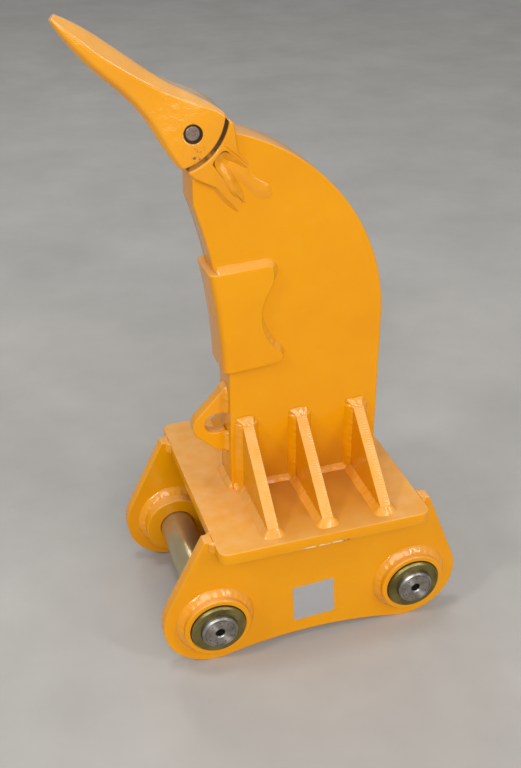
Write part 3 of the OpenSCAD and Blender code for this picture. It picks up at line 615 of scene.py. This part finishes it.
# %% Lifting lug
LUG_R, EYE_R, LUG_HALF, LUG_LOW, LUG_HIGH = 32.0, 20.0, 12.5, 268.0, 399.0
lug_at, eye_at = (44.7, 325.4), (56.3, 329.5)
lug_lower, lug_upper = (60.5, LUG_LOW), (71.5, LUG_HIGH)
round_end = touch_angle(lug_at, LUG_R, lug_upper, 1), touch_angle(lug_at, LUG_R, lug_lower, -1) + 360
lug_corners = np.concatenate([
    [(SHANK_X0, LUG_LOW), (SHANK_X0, eye_at[1] - EYE_R)],
    arc_points(*eye_at, EYE_R, 270, 90, 32),
    [(SHANK_X0, eye_at[1] + EYE_R), (SHANK_X0, LUG_HIGH), lug_upper],
    arc_points(*lug_at, LUG_R, *round_end, 40),
    [lug_lower],
])
lug_outline = rounded(lug_corners, np.concatenate([[4, 4], np.zeros(32), [4, 4, 5], np.zeros(40), [7]]))
put("lifting_lug_body", [slab(lug_outline, -LUG_HALF, LUG_HALF, 3.0, "y")], PAINT_CAST, "lifting_lug")

# %% [markdown]
# ## Hubs, collars and pins
# These are turned parts: a profile of radius and length is spun about the pin's axis. The
# profile's corners are rounded in the same way as a plate's outline, so every edge catches light.

# %% Turned parts
def lathe(profile, x, side, radii, turns=120):
    """A profile of (radius, length) points spun about a pin axis at X: each point goes to
    x + r cos a, side times length, r sin a, for angles a all round."""
    ring = rounded(profile, radii, 5)
    a = np.linspace(0, 2 * np.pi, turns, endpoint=False)[:, None]
    r, y = ring[None, :, 0], ring[None, :, 1]
    spun = [x + r * np.cos(a), side * y + 0 * a, r * np.sin(a)]
    return block(np.stack(spun, -1), closed=True)


HUB = [(35.3, 122), (37.3, 120), (63, 120), (HUB_R, 122), (HUB_R, 200), (63, 202), (55, 202), (55, 176),
       (35.3, 176)]
COLLAR = [(35.3, 176), (53.5, 176), (53.5, 204.9), (50.0, 208.4), (35.3, 208.4)]
for pin, x in PINS:
    for side, word in SIDES:
        end = f"{pin}_{word}"
        put(f"hub_{end}_body", [lathe(HUB, x, side, 0.6)], PAINT, f"hub_{end}", sharp=35)
        collar = lathe(COLLAR, x, side, [0.5, 0.5, 0.5, 0.5, 1.0])
        put(f"collar_{end}_body", [collar], ZINC, f"collar_{end}", sharp=35)

# %% Pins
half_pin = [(0.05, 171.6), (8.75, 171.6), (8.75, 214.6), (10.75, 216.6), (32, 216.6), (35, 213.6)]
half_radii = [0, 0.4, 0.4, 0.4, 0.6, 0.6]
pin_profile, pin_radii = half_pin + [(r, -y) for r, y in half_pin[::-1]], half_radii + half_radii[::-1]
for pin, x in PINS:
    put(f"{pin}_pin_body", [lathe(pin_profile, x, 1, pin_radii)], PIN_STEEL, f"{pin}_pin", sharp=35)

# %% [markdown]
# ## Shroud
# The shin guard is a U of plate pressed round the leading edge and follows its hollow curve. As a
# surface it has two parameters: one goes round the U, from one cheek's rear edge over the round
# corners and the front to the other cheek, and one goes up from the lower edge to the upper. The
# cheeks' rear edge has a scallop, so their reach is a function of height.

# %% Reach of the shroud's cheeks
GUARD_LOW, GUARD_HIGH, GUARD_Y, GUARD_WALL, GUARD_ROUND = 451.0, 646.0, 47.2, 12.0, 14.0
GUARD_TALL = GUARD_HIGH - GUARD_LOW
RISE, RISE_FROM, RISE_RUN = 8.0, 12.5, 140.0
REACH_LOW, REACH_HIGH, BITE_X, BITE_R, CHEEK_CORNER = 178.5, 161.5, 139.0, 96.0, 11.0


def guard_z(x, level):
    """Z at X of a line round the guard: its lines rise towards the rear, by RISE over RISE_RUN."""
    return level + RISE * (x - RISE_FROM) / RISE_RUN


def cheek_reach(t):
    """X of the cheek's rear edge at height share t: the low or high reach, cut back by the round scallop, and
    by a round corner at both ends. The smaller of reach and scallop is taken softly."""
    full = np.where(t < 0.5, REACH_LOW, REACH_HIGH)
    bite = BITE_X + BITE_R - np.sqrt(np.maximum(BITE_R**2 - ((t - 0.5) * GUARD_TALL) ** 2, 0.0))
    soft = 3.0
    reach = -soft * np.logaddexp(-full / soft, -bite / soft)
    for from_end in (t * GUARD_TALL, (1 - t) * GUARD_TALL):
        inside = np.maximum(CHEEK_CORNER - from_end, 0.0)
        reach -= CHEEK_CORNER - np.sqrt(CHEEK_CORNER**2 - inside**2)
    return reach


# %% Shroud surface
def shroud_rings(rows=90, edge=2.0, lip=2.5, inner=34.0):
    """Rows run up the guard, columns round its closed U section. At height share t the front lies on the
    hollow curve less the wall; each cheek runs back to its reach. Near both ends the section is drawn in
    by a quarter-round, and the cheeks' rear edge is rounded in the section itself."""
    q = np.radians(np.linspace(0, 80, 5))
    draw, drop = edge * (1 - np.sin(q[:4])), edge * (np.cos(q[4]) - np.cos(q[:4]))
    t = np.concatenate([np.zeros(4), np.linspace(0, 1, rows), np.ones(4)])
    inset = np.concatenate([draw, np.zeros(rows), draw[::-1]])
    level = GUARD_LOW + t * GUARD_TALL + np.concatenate([drop, np.zeros(rows), -drop[::-1]])
    ahead, clear = 3.0, 0.2
    front = FRONT_X + np.sqrt(FRONT_R**2 - (level + ahead - FRONT_Z) ** 2) - GUARD_WALL - clear + inset
    columns = (front, cheek_reach(t) - inset, GUARD_Y - inset, GUARD_ROUND - inset, level)
    front, rear, y, r, level = (value[:, None] for value in columns)
    k = np.radians(np.linspace(0, 90, 7))
    half_x = np.concatenate([rear - lip * (1 - np.cos(k)), front + r * (1 - np.sin(k))], 1)
    half_y = np.concatenate([y - lip * (1 - np.sin(k)), y - r * (1 - np.cos(k))], 1)
    inner_x = np.concatenate([rear, front + GUARD_WALL, front + GUARD_WALL, rear], 1)
    inner_y = np.broadcast_to([inner, inner, -inner, -inner], inner_x.shape)
    x = np.concatenate([half_x, half_x[:, ::-1], inner_x], 1)
    y = np.concatenate([-half_y, half_y[:, ::-1], inner_y], 1)
    return np.stack([x, y, guard_z(x, level)], -1)


put("shroud_body", [block(shroud_rings())], PAINT, "shroud", sharp=40)

# %% [markdown]
# ## Adapter and tooth
# The adapter is a casting welded over the shank's end: a collar behind the tooth, forked into two
# legs that sink into the shank's faces. It is cut as a plate first, and then every point that
# stands proud of the shank is lowered, the more the further it lies from the collar. The tooth is
# the form that takes most skill. Each cross-section is a ring of eight rounded corners: flat sides,
# an upper bevel that grows towards the point, so that a ridge runs along the tooth, and a narrower
# lower bevel. The ring flares in quickly behind the pin and runs out to a blunt point. Its rear
# edge is an arc in side view, so every line along the tooth starts at its own place on that arc.

# %% Adapter
COLLAR_AT, COLLAR_R, COLLAR_HALF, ADAPTER_Y = 78.0, 98.5, 54.0, 45.0
UPPER_SINK, LOWER_SINK, SINK_SHARE = (-40.0, 46.0), (-55.0, 67.0), 1.06
FORK = np.array([  # along, across and corner radius
    (-14, 54, 6), (-52, 23, 20), (-86, 19, 3.2), (-86, 11, 3.2), (-29, 13, 8),
    (-29, -18, 6), (-118, -36, 5), (-122, -54, 5), (-60, -45, 14), (-24, -54, 6),
])
sweep = np.linspace(-1, 1, 21) * math.asin(COLLAR_HALF / COLLAR_R)
collar_front = nose_at(COLLAR_AT - COLLAR_R * np.cos(sweep), COLLAR_R * np.sin(sweep))
adapter_outline = rounded(np.concatenate([collar_front, nose_at(FORK[:, 0], FORK[:, 1])]),
                          np.concatenate([np.zeros(20), [3], FORK[:, 2]]), least=3.2)
cheeks, quads, ends = slab(adapter_outline, -ADAPTER_Y, ADAPTER_Y, 3.0, "y")
along, across = ((cheeks[:, [0, 2]] - NOSE) @ axis for axis in (ALONG, ACROSS))
upper, lower = ((start - along) / run for start, run in (UPPER_SINK, LOWER_SINK))
sink = SINK_SHARE * np.where(across > 0, upper, lower).clip(0, 1)
proud = np.maximum(np.abs(cheeks[:, 1]) - SHANK_Y, 0)
cheeks[:, 1] -= np.sign(cheeks[:, 1]) * proud * sink
put("adapter_body", [(cheeks, quads, ends)], PAINT_CAST, "adapter")
root_outline = rounded(nose_at([-24, -10, -2, -2, -10, -24], [-40, -51, -51, 51, 51, 40]), 5)
# The nose root in the gap behind the tooth takes the dark rusty finish, which is also painted shade for the gap.
put("nose_root", [slab(root_outline, -41, 41, 4.0, "y")], GAP_RUST_AND_SHADE)

# %% Sections of the tooth
TOOTH_LENGTH, TIP_S, REAR_AT, REAR_R = 296.0, 295.0, 80.0, 93.0


def half_size(u, rear, mid, tip):
    """Half size at length share u: tip, plus the middle's share of a blunt run-out, plus the rear's flare."""
    flare = ((1 + np.cos(np.pi * np.minimum(1, u / 0.7))) / 2) ** 2.3
    return (tip + (mid - tip) * (1 - u**5) + (rear - mid) * flare) / 2


def tooth_section(s, arc=9, cuts=16):
    """Section at each s as (across, sideways) points: an eight-cornered ring whose upper bevel grows from the
    rear to the full half height, and whose lower bevel stays narrower. Its corners are rounded and its flats
    are divided, because the rear edge has to bend across them."""
    u = np.maximum(0, s / TOOTH_LENGTH)
    grow = np.sin(np.pi / 2 * np.minimum(1, u / 0.85))
    h, w = half_size(u, 114, 53, 12), half_size(u, 92, 52, 18)
    mid = 3.0 * np.sin(np.pi * np.minimum(1, u / 0.7))
    ridge, keel, inner = h * (0.08 + 0.92 * grow**2), h * (0.08 + 0.28 * grow), w * (0.92 - 0.55 * grow)
    across = np.stack([mid + h, mid + h - ridge, mid - h + keel, mid - h], -1)
    sideways = np.stack([inner, w, w, inner], -1)
    corners = np.stack([np.concatenate([across, across[..., ::-1]], -1),
                        np.concatenate([sideways, -sideways[..., ::-1]], -1)], -1)
    bevel = np.hypot(np.minimum(ridge, keel), w - inner)
    radius = np.minimum(np.minimum(10.0, 0.45 * h), 0.62 * bevel)
    arcs = rounded(corners, radius[..., None], arc).reshape(*corners.shape[:-1], arc, 2)
    f = np.linspace(0, 1, cuts)[1:-1, None]
    flats = arcs[..., -1:, :] * (1 - f) + np.roll(arcs[..., :1, :], -1, -3) * f
    return np.concatenate([arcs, flats], -2).reshape(*corners.shape[:-2], -1, 2)


# %% Tooth
def tooth_rings(rows=170, before=18, rim=3.0):
    """Rings along the tooth. Each line along it starts on the round rear edge and is spread evenly to the
    tip. The first rings come out of the socket and roll over the rim; the last ones close the tip."""
    stations = np.arange(-before, TOOTH_LENGTH + 2)
    table = tooth_section(stations)
    columns = np.arange(table.shape[1])

    def at(s, shrink=0.0):
        i = np.clip(np.floor(s - stations[0]).astype(int), 0, len(stations) - 2)
        f = (s - stations[i])[..., None]
        p = table[i, columns] * (1 - f) + table[i + 1, columns] * f
        return p * (1 - shrink / np.linalg.norm(p, axis=-1))[..., None]

    start = REAR_AT - np.sqrt(REAR_R**2 - table[before, :, 0] ** 2)
    rings = [np.column_stack([start + ahead, at(start + ahead, shrink)])
             for ahead, shrink in ((40, 9), (8, 7), (1.2, 5), (0, 4), (0, 3), (0.4, 1.5), (1.5, 0.4))]
    s = start + rim + (TIP_S - start - rim) * np.linspace(0, 1, rows)[:, None] ** 1.1
    rings += list(np.concatenate([s[..., None], at(s)], -1))
    end = np.full(len(start), TIP_S)
    rings += [np.column_stack([end + ahead, at(end) * size]) for ahead, size in ((0.7, 0.9), (1, 0.7))]
    g = np.array(rings)
    xz = nose_at(g[..., 0], g[..., 1])
    return np.stack([xz[..., 0], g[..., 2], xz[..., 1]], -1)


tooth = put("tooth_body", [block(tooth_rings())], PAINT_TOOTH, "tooth", sharp=50)

# %% [markdown]
# A cross hole for the tooth's pin is cut with a boolean, because it meets the curved sides on a
# line that a grid doesn't follow. The pin itself is a short turned dowel below the surface.

# %% Recess and tooth pin
PIN_S, RECESS_R, TOOTH_PIN_R, TOOTH_PIN_Y = 28.0, 15.5, 12.0, 41.0


def dowel(r, y0, y1, edge, turns=64):
    """A short bar along Y with rounded ends: a circle as outline of a slab."""
    return slab(arc_points(*nose_at(PIN_S, 0.0), r, 0, 360 * (1 - 1 / turns), turns), y0, y1, edge, "y")


# The cut faces take the cutter's dark rusty finish, which is also painted shade in the recess.
cutter = put("recess_cutter", [dowel(RECESS_R, y0, y0 + 21.0, 0.01) for y0 in (-60.0, 39.0)], GAP_RUST_AND_SHADE)
cut_hole = tooth.modifiers.new("recess", "BOOLEAN")
cut_hole.object, cut_hole.operation = cutter, "DIFFERENCE"
cut_hole.solver, cut_hole.material_mode = "EXACT", "TRANSFER"
graph = bpy.context.evaluated_depsgraph_get()
done = bpy.data.meshes.new_from_object(tooth.evaluated_get(graph))
tooth.modifiers.clear()
tooth.data = done
bpy.data.objects.remove(cutter)
put("tooth_pin_body", [dowel(TOOTH_PIN_R, -TOOTH_PIN_Y, TOOTH_PIN_Y, 1.5)], TOOTH_PIN_STEEL, "tooth_pin")
print("tooth after the cut:", len(tooth.data.polygons), "faces")

# %% [markdown]
# ## Weld beads
# A fillet weld is laid by hand along a corner: a bead with a slightly bulged face, crossed by
# close ripples where each small pool froze, never quite even in width, and rounded off at its
# ends. Here it is a section carried along a path. The section runs from one leg to the other as u
# times cos plus v times sin, each to a power that sets the bulge, with ripples and slow swells.
# The broad lumps in the adapter's fork and the facets on the gussets' tops don't lie in a corner,
# so they are grids of their own.

# %% Paths
def run_of(points):
    """Length along a path at each of its points."""
    return np.concatenate([[0], np.cumsum(np.linalg.norm(np.diff(points, axis=0), axis=1))])


def at_lengths(s, run, values):
    """Columns of values, known at the lengths run, read at the lengths s."""
    return np.stack([np.interp(s, run, column) for column in values.T], 1)


def smooth_path(points, y, soft=13):
    """A path on the plane Y = y, through (X, Z) points: taken every millimetre and averaged over soft
    points, with the unit normal on its left."""
    run = run_of(points)
    flat = at_lengths(np.arange(0, run[-1], 1.0), run, np.asarray(points, float))
    padded = np.pad(flat, ((soft // 2, soft // 2), (0, 0)), mode="edge")
    flat = np.stack([np.convolve(column, np.ones(soft) / soft, "valid") for column in padded.T], 1)
    d = np.gradient(flat, axis=0)
    d /= np.linalg.norm(d, axis=1, keepdims=True)
    level = np.full(len(flat), float(y))
    return np.stack([flat[:, 0], level, flat[:, 1]], 1), np.stack([-d[:, 1], 0 * level, d[:, 0]], 1)


# %% Bead
def bead(path, u, v, a, b, seed, ripple=0.08, pitch=5.0, taper=8.0, bulge=1.25, swell=0.09):
    """A weld along a path. At length s and section angle q the point is path + u a k cos(q)^m + v b k sin(q)^m,
    with k the swell and the round end, plus ripples along u + v that lag towards the legs. taper is the
    length of both round ends, or of the first and the last."""
    path = np.asarray(path, float)
    run = run_of(path)
    s = np.linspace(0, run[-1], max(6, int(run[-1] / 0.8)))
    u, v = (at_lengths(s, run, np.broadcast_to(np.asarray(leg, float), path.shape)) for leg in (u, v))
    path = at_lengths(s, run, path)
    phase = np.random.default_rng(seed).uniform(0, 2 * np.pi, 6)
    waves = np.sin(2 * np.pi * s[:, None] / [83.0, 47.0, 29.0, 19.0, 61.0, 13.0] + phase)
    swell_a, swell_b = 1 + swell * waves[:, :3].mean(1), 1 + swell * waves[:, 3:].mean(1)
    first, last = np.broadcast_to(taper, 2)
    edge = np.clip(np.minimum(s / first, (run[-1] - s) / last), 0, 1)
    fade = np.sqrt(np.maximum(1 - (1 - edge) ** 2, 0.02))
    q = np.radians(np.linspace(0, 90, 9))
    lag = 1.1 * (q / (np.pi / 4) - 1) ** 2
    pool = np.abs(np.sin(np.pi * s[:, None] / pitch + 0.35 * waves[:, 4:5] + lag)) - 0.6
    ridge = 0.7 * ripple * pool * np.sin(2 * q) ** 0.7
    pu = a * (swell_a * fade)[:, None] * np.cos(q) ** (2 / bulge) + ridge
    pv = b * (swell_b * fade)[:, None] * np.sin(q) ** (2 / bulge) + ridge
    pts = path[:, None] + u[:, None] * pu[..., None] + v[:, None] * pv[..., None]
    sunk = (path - 1.2 * (u + v))[:, None]
    return block(np.concatenate([pts, sunk], 1))


# %% Broad lumps
def cushion(path, normal, out, half, high, seed, run_out=25.0):
    """A broad weld along a path: across it the height is high times (1 - t squared) to a power, its half
    width and height swell slowly, and both ends die away over run_out."""
    n, out = len(path), np.asarray(out, float)
    phase = np.random.default_rng(seed).uniform(0, 6.28, 4)
    s, t = np.arange(n)[:, None], np.linspace(-1, 1, 17)[None]
    end = np.clip(np.minimum(s, n - 1 - s) / run_out, 0.02, 1)
    uneven = 1 + 0.10 * np.sin(s / 9.0 + phase[0]) + 0.03 * np.sin(s / 4.0 + phase[1])
    width = half * np.sqrt(1 - (1 - end) ** 2) * uneven
    lumpy = 1 + 0.14 * np.sin(s / 9.5 + phase[2] + 2 * t) + 0.04 * np.sin(s / 4.0 + phase[3] - 3 * t)
    rise = high * end**1.2 * (2.2 - 1.2 * end) * lumpy * np.maximum(1 - t**2, 0) ** 1.2 - 0.4
    pts = path[:, None] + normal[:, None] * (width * t)[..., None] + out * rise[..., None]
    return block(np.concatenate([pts, (path - 2.0 * out)[:, None]], 1))


def put_welds(part, beads):
    """One group of welds as one piece."""
    put(f"{part}_beads", beads, PAINT_WELD, f"{part}_welds", sharp=60)


# %% [markdown]
# The foot's welds run along the shank, up both faces of each gusset, and round each gusset's foot
# in one U that turns about the toe. A ragged facet covers each gusset's top.

# %% Line round a gusset's foot, and the facet on its top
def round_the_foot(gx, side, r=3.0, n=14):
    """The line round a gusset's foot: along one face, round the toe's two corners on arcs of radius r, and back
    along the other face, with the unit step away from the gusset at each point."""
    q = np.radians(np.linspace(0, 90, n))
    run = np.linspace(SHANK_Y, GUSSET_OUT - r, 60)
    x = np.concatenate([0 * run, r - r * np.cos(q), GUSSET_T - r + r * np.sin(q), GUSSET_T + 0 * run])
    y = np.concatenate([run, GUSSET_OUT - r + r * np.sin(q), GUSSET_OUT - r + r * np.cos(q), run[::-1]])
    nx = np.concatenate([0 * run - 1, -np.cos(q), np.sin(q), 0 * run + 1])
    ny = np.concatenate([0 * run, np.sin(q), np.cos(q), 0 * run])
    return np.stack([gx + x, side * y, 0 * x + PLATE_TOP], 1), np.stack([nx, side * ny, 0 * x], 1)


def cap_lump(gx, side, seed, cols=37):
    """The weld over a gusset's top: a ragged facet that slopes from the shank down to the gusset's outer corner.
    Share v goes down the facet, share u across it; the facet narrows downwards and dies away at its sides."""
    u, v = np.linspace(-1, 1, cols)[:, None], np.linspace(0, 1, 13)[None]
    phase = np.random.default_rng(seed).uniform(0, 6.28, 3)
    ragged = 1 + 0.07 * np.sin(4 * u + phase[0] + 2 * v) + 0.02 * np.sin(9 * u + phase[1] - 3 * v)
    fall = ragged * np.maximum(1 - np.abs(u) ** 8, 0.02) ** 0.5
    x = gx + GUSSET_T / 2 - 3.0 * (1 - v) + (20.5 - 6.5 * v) * u
    y = side * (SHANK_Y + fall * (1.5 + 11.5 * v**0.85))
    z = GUSSET_TOP - 1.5 + fall * (13.5 * (1 - v) + 0.7 * np.sin(phase[2] + 6 * u) * np.sin(np.pi * v))
    under = [x[:, -1], np.full(cols, side * (SHANK_Y - 1.5)), np.full(cols, GUSSET_TOP - 2.0)]
    return block(np.concatenate([np.stack([x, y, z], -1), np.stack(under, -1)[:, None]], 1))


# %% Foot and gusset seams
UP, BACK = np.array([0, 0, 1.0]), np.array([1.0, 0, 0])
beads, seed = [], 0
SHANK_FACES = [(side * SHANK_Y, (0, side, 0)) for side, _ in SIDES]
starts = [SHANK_X0] + [gx + GUSSET_T for gx in GUSSET_X]
stops = [*GUSSET_X, SHANK_X1]
for y, out in SHANK_FACES:
    for a, b in zip(starts, stops):
        seed += 1
        beads.append(bead([(a, y, PLATE_TOP), (b, y, PLATE_TOP)], out, UP, 10, 10, seed))
    for gx in GUSSET_X:
        for x, away in ((gx, -BACK), (gx + GUSSET_T, BACK)):
            seed += 1
            upright = (x, y, PLATE_TOP), (x, y, GUSSET_TOP + 3)
            beads.append(bead(upright, away, out, 12.5, 12, seed + 40, ripple=0.04, swell=0.06))
        path, normal = round_the_foot(gx, out[1])
        beads.append(bead(path, normal, UP, 12, 11.5, seed + 80, ripple=0.04, bulge=1.0, swell=0.08))
for x, away in ((SHANK_X0, -BACK), (SHANK_X1, BACK)):
    seed += 1
    beads.append(bead([(x, -40, PLATE_TOP), (x, 40, PLATE_TOP)], away, UP, 10, 10, seed + 160))
for k, gx in enumerate(GUSSET_X):
    beads += [cap_lump(gx, -1.0, 11 + k), cap_lump(gx, 1.0, 21 + k)]
put_welds("foot", beads)

# %% Ear seams
EAR_FACES = [(side * y, (0, side * way, 0)) for side, _ in SIDES for y, way in ((EAR_OUT, 1.0), (EAR_IN, -1.0))]
beads = []
for y, out in EAR_FACES:
    seed += 1
    beads.append(bead([(PLATE_X0, y, PLATE_LOW), (PLATE_X1, y, PLATE_LOW)], out, -UP, 9, 9, seed))
    for x, away in ((PLATE_X0, -BACK), (PLATE_X1, BACK)):
        upright = (x, y, PLATE_LOW), (x, y, PLATE_TOP + 1)
        beads.append(bead(upright, away, out, 10, 9, seed + 30, taper=5))
put_welds("ear", beads)

# %% Hub seams
beads = []
angle = np.radians(np.linspace(-100, 268, 300))
radial = np.stack([np.cos(angle), 0 * angle, np.sin(angle)], 1)
for _, x in PINS:
    for y, out in EAR_FACES:
        seed += 1
        path = np.array([x, y, 0]) + HUB_R * radial
        beads.append(bead(path, radial, out, 12, 11, seed, ripple=0.06, pitch=7.0, bulge=1.2))
put_welds("hub", beads)

# %% Lug seams
beads = []
for side, _ in SIDES:
    y = side * LUG_HALF
    for z0, z1 in ((266.0, 311.0), (348.0, 402.0)):
        seed += 1
        upright = (SHANK_X0, y, z0), (SHANK_X0, y, z1)
        beads.append(bead(upright, -BACK, (0, side, 0), 9, 9, seed, swell=0.16))
for z, out in ((LUG_LOW, -UP), (LUG_HIGH, UP)):
    seed += 1
    beads.append(bead([(SHANK_X0, -16, z), (SHANK_X0, 16, z)], -BACK, out, 11, 9, seed, swell=0.16))
put_welds("lug", beads)

# %% [markdown]
# The shroud's upper weld follows the cheek's top edge, turns its corner and dies away down the
# rear edge; a second one fills the lower half of the scallop. On the adapter a thin fillet follows
# the fork, another the lower leg's underside, and two broad lumps fill the space between the legs.

# %% Shroud seams
def cheek_edge(t):
    """X and Z of the cheek's rear edge at height shares t."""
    x = cheek_reach(t)
    return np.stack([x, guard_z(x, GUARD_LOW + t * GUARD_TALL)], 1)


TOP_WELD_X = 56.0
top_start = TOP_WELD_X, guard_z(TOP_WELD_X, GUARD_HIGH)
over_top = np.concatenate([[top_start], cheek_edge(np.linspace(1.0, 0.80, 60))])
down_scallop = cheek_edge(np.linspace(0.52, 0.03, 80))
beads = []
for y, out in SHANK_FACES:
    seed += 1
    beads += [bead(*smooth_path(over_top, y), out, 12, 11.5, seed, 0.05, 11, (8.0, 70.0), 1.1, 0.1),
              bead(*smooth_path(down_scallop, y), out, 10, 10.5, seed + 9, 0.05, 7, (60.0, 24.0), 1.05, 0.15)]
put_welds("shroud", beads)

# %% Adapter seams
fork = nose_at([-86, -57, -42, -32, -29, -29, -38, -60, -90, -122], [12, 13, 13, 9, -1, -13, -20, -24, -30, -36])
keel = nose_at([-124, -90, -60, -44], [-53, -49, -44, -47])
lumps = ((nose_at([-36, -58, -80, -112], [-13, -20, -26, -34]), 13.5, 8.5),
         (nose_at([-48, -80, -120, -156], [2, 0, -3, 2]), 14.0, 3.2))
beads = []
for y, out in SHANK_FACES:
    seed += 1
    beads += [bead(*smooth_path(fork, y), out, 12, 8, seed, ripple=0.04, taper=60.0, bulge=1.05, swell=0.1),
              bead(*smooth_path(keel, y), out, 7, 6, seed + 5, ripple=0.04, taper=45.0, bulge=1.0, swell=0.1)]
    beads += [cushion(*smooth_path(lump, y, 25), out, half, high, seed + 7) for lump, half, high in lumps]
put_welds("adapter", beads)

# %% [markdown]
# ## Label
# A plain silver film sits on the near ear. It stays bare: only its rounded corners, its thin edge
# and its satin grain are made.

# %% Label
LABEL_HALF, LABEL_AT, LABEL_TURN = 42.0, (199.0, -4.0), math.radians(3.0)
cos, sin = math.cos(LABEL_TURN), math.sin(LABEL_TURN)
label_corners = LABEL_HALF * np.array([(-1, -1), (1, -1), (1, 1), (-1, 1)]) @ [[cos, sin], [-sin, cos]] + LABEL_AT
label_film = slab(rounded(label_corners, 3), -EAR_OUT - 0.35, -EAR_OUT + 0.1, 0.1, "y", 3)
put("label_film_body", [label_film], LABEL)

# %% [markdown]
# ## Floor, light and camera
# The picture is taken from a little above, by a camera that looks down at the object. A pale
# floor carries its soft shadow. The light is that of a bright overcast day: an even sky all round
# and a broad lamp far behind the camera. Glossy enamel also shows what is bright around it, so
# four smaller lamps give it something to mirror: one above and one at the left for the welds, a
# tall strip at the right for the tooth's ridge, and one at the back for the pin's shaft.

# %% Floor
FLOOR_HALF, FLOOR_Z = 14, -0.1
mesh = bpy.data.meshes.new("floor")
mesh.from_pydata([(x * FLOOR_HALF, y * FLOOR_HALF, FLOOR_Z) for x, y in ((-1, -1), (1, -1), (1, 1), (-1, 1))],
                 [], [(0, 1, 2, 3)])
floor = new_object("floor", mesh)
floor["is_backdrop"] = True
floor_paint, shader, vector = finish("floor_grey")
tone = ramp(noise(vector, 3.0, 6.0, 0.62), 0.3, 0.7)
floor_tone = blend(tone, (0.385, 0.367, 0.337), (0.455, 0.435, 0.402))
wire(shader, Base_Color=floor_tone, Roughness=0.8)
mesh.materials.append(floor_paint)
print("floor:", floor.name)


# %% Lamps and sky
def lamp(name, place_at, aim, width, height, power):
    """An area lamp of the given width and height that looks from its place to its aim."""
    light = bpy.data.lights.new(name, "AREA")
    light.shape, light.size, light.size_y, light.energy = "RECTANGLE", width, height, power
    obj = new_object(name, light)
    obj.location = place_at
    obj.rotation_euler = (Vector(place_at) - Vector(aim)).to_track_quat("Z", "Y").to_euler()
    print(f"lamp {name}: {power} W")


lamp("key", (-1.2, -6.9, 4.0), (0.15, 0, 0.45), 5.4, 5.4, 390)
lamp("top", (-0.9, 0.1, 6.4), (0.15, 0, 0.3), 1.0, 1.0, 70)
lamp("right", (2.3, -2.9, 2.5), (0.0, 0, 0.9), 0.3, 2.4, 40)
lamp("left", (-2.8, -1.4, 3.0), (0.1, 0, 0.4), 0.5, 0.5, 40)
lamp("back", (-0.4, 4.2, 3.9), (0.1, 0, 0.2), 0.8, 0.8, 26)
sky = bpy.data.worlds.new("sky")
scene.world = sky
sky.use_nodes = True
wire(sky.node_tree.nodes["Background"], Color=(0.93, 0.96, 1.0), Strength=0.41)
scene.view_settings.view_transform = "Standard"

# %% Camera
FOCAL_PIXELS, PHOTO_PIXELS, SENSOR = 1040.0, 521.0, 36.0
HEADING, DOWN, ROLL = math.radians(-17.7), math.radians(31.0), math.radians(-0.3)
camera = bpy.data.cameras.new("camera")
camera.sensor_fit, camera.sensor_width = "HORIZONTAL", SENSOR
camera.lens = SENSOR * FOCAL_PIXELS / PHOTO_PIXELS
eye = new_object("camera", camera)
look = Matrix.Rotation(HEADING, 3, "Z") @ Matrix.Rotation(math.pi / 2 - DOWN, 3, "X")
eye.rotation_euler = (look @ Matrix.Rotation(ROLL, 3, "Z")).to_euler()
eye.location = (-0.3613, -1.6009, 1.4023)
scene.camera = eye
print("camera:", list(eye.location), "lens", camera.lens)

# %% Measure the visual box
low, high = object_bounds()
print("visual box:", list(low), list(high))
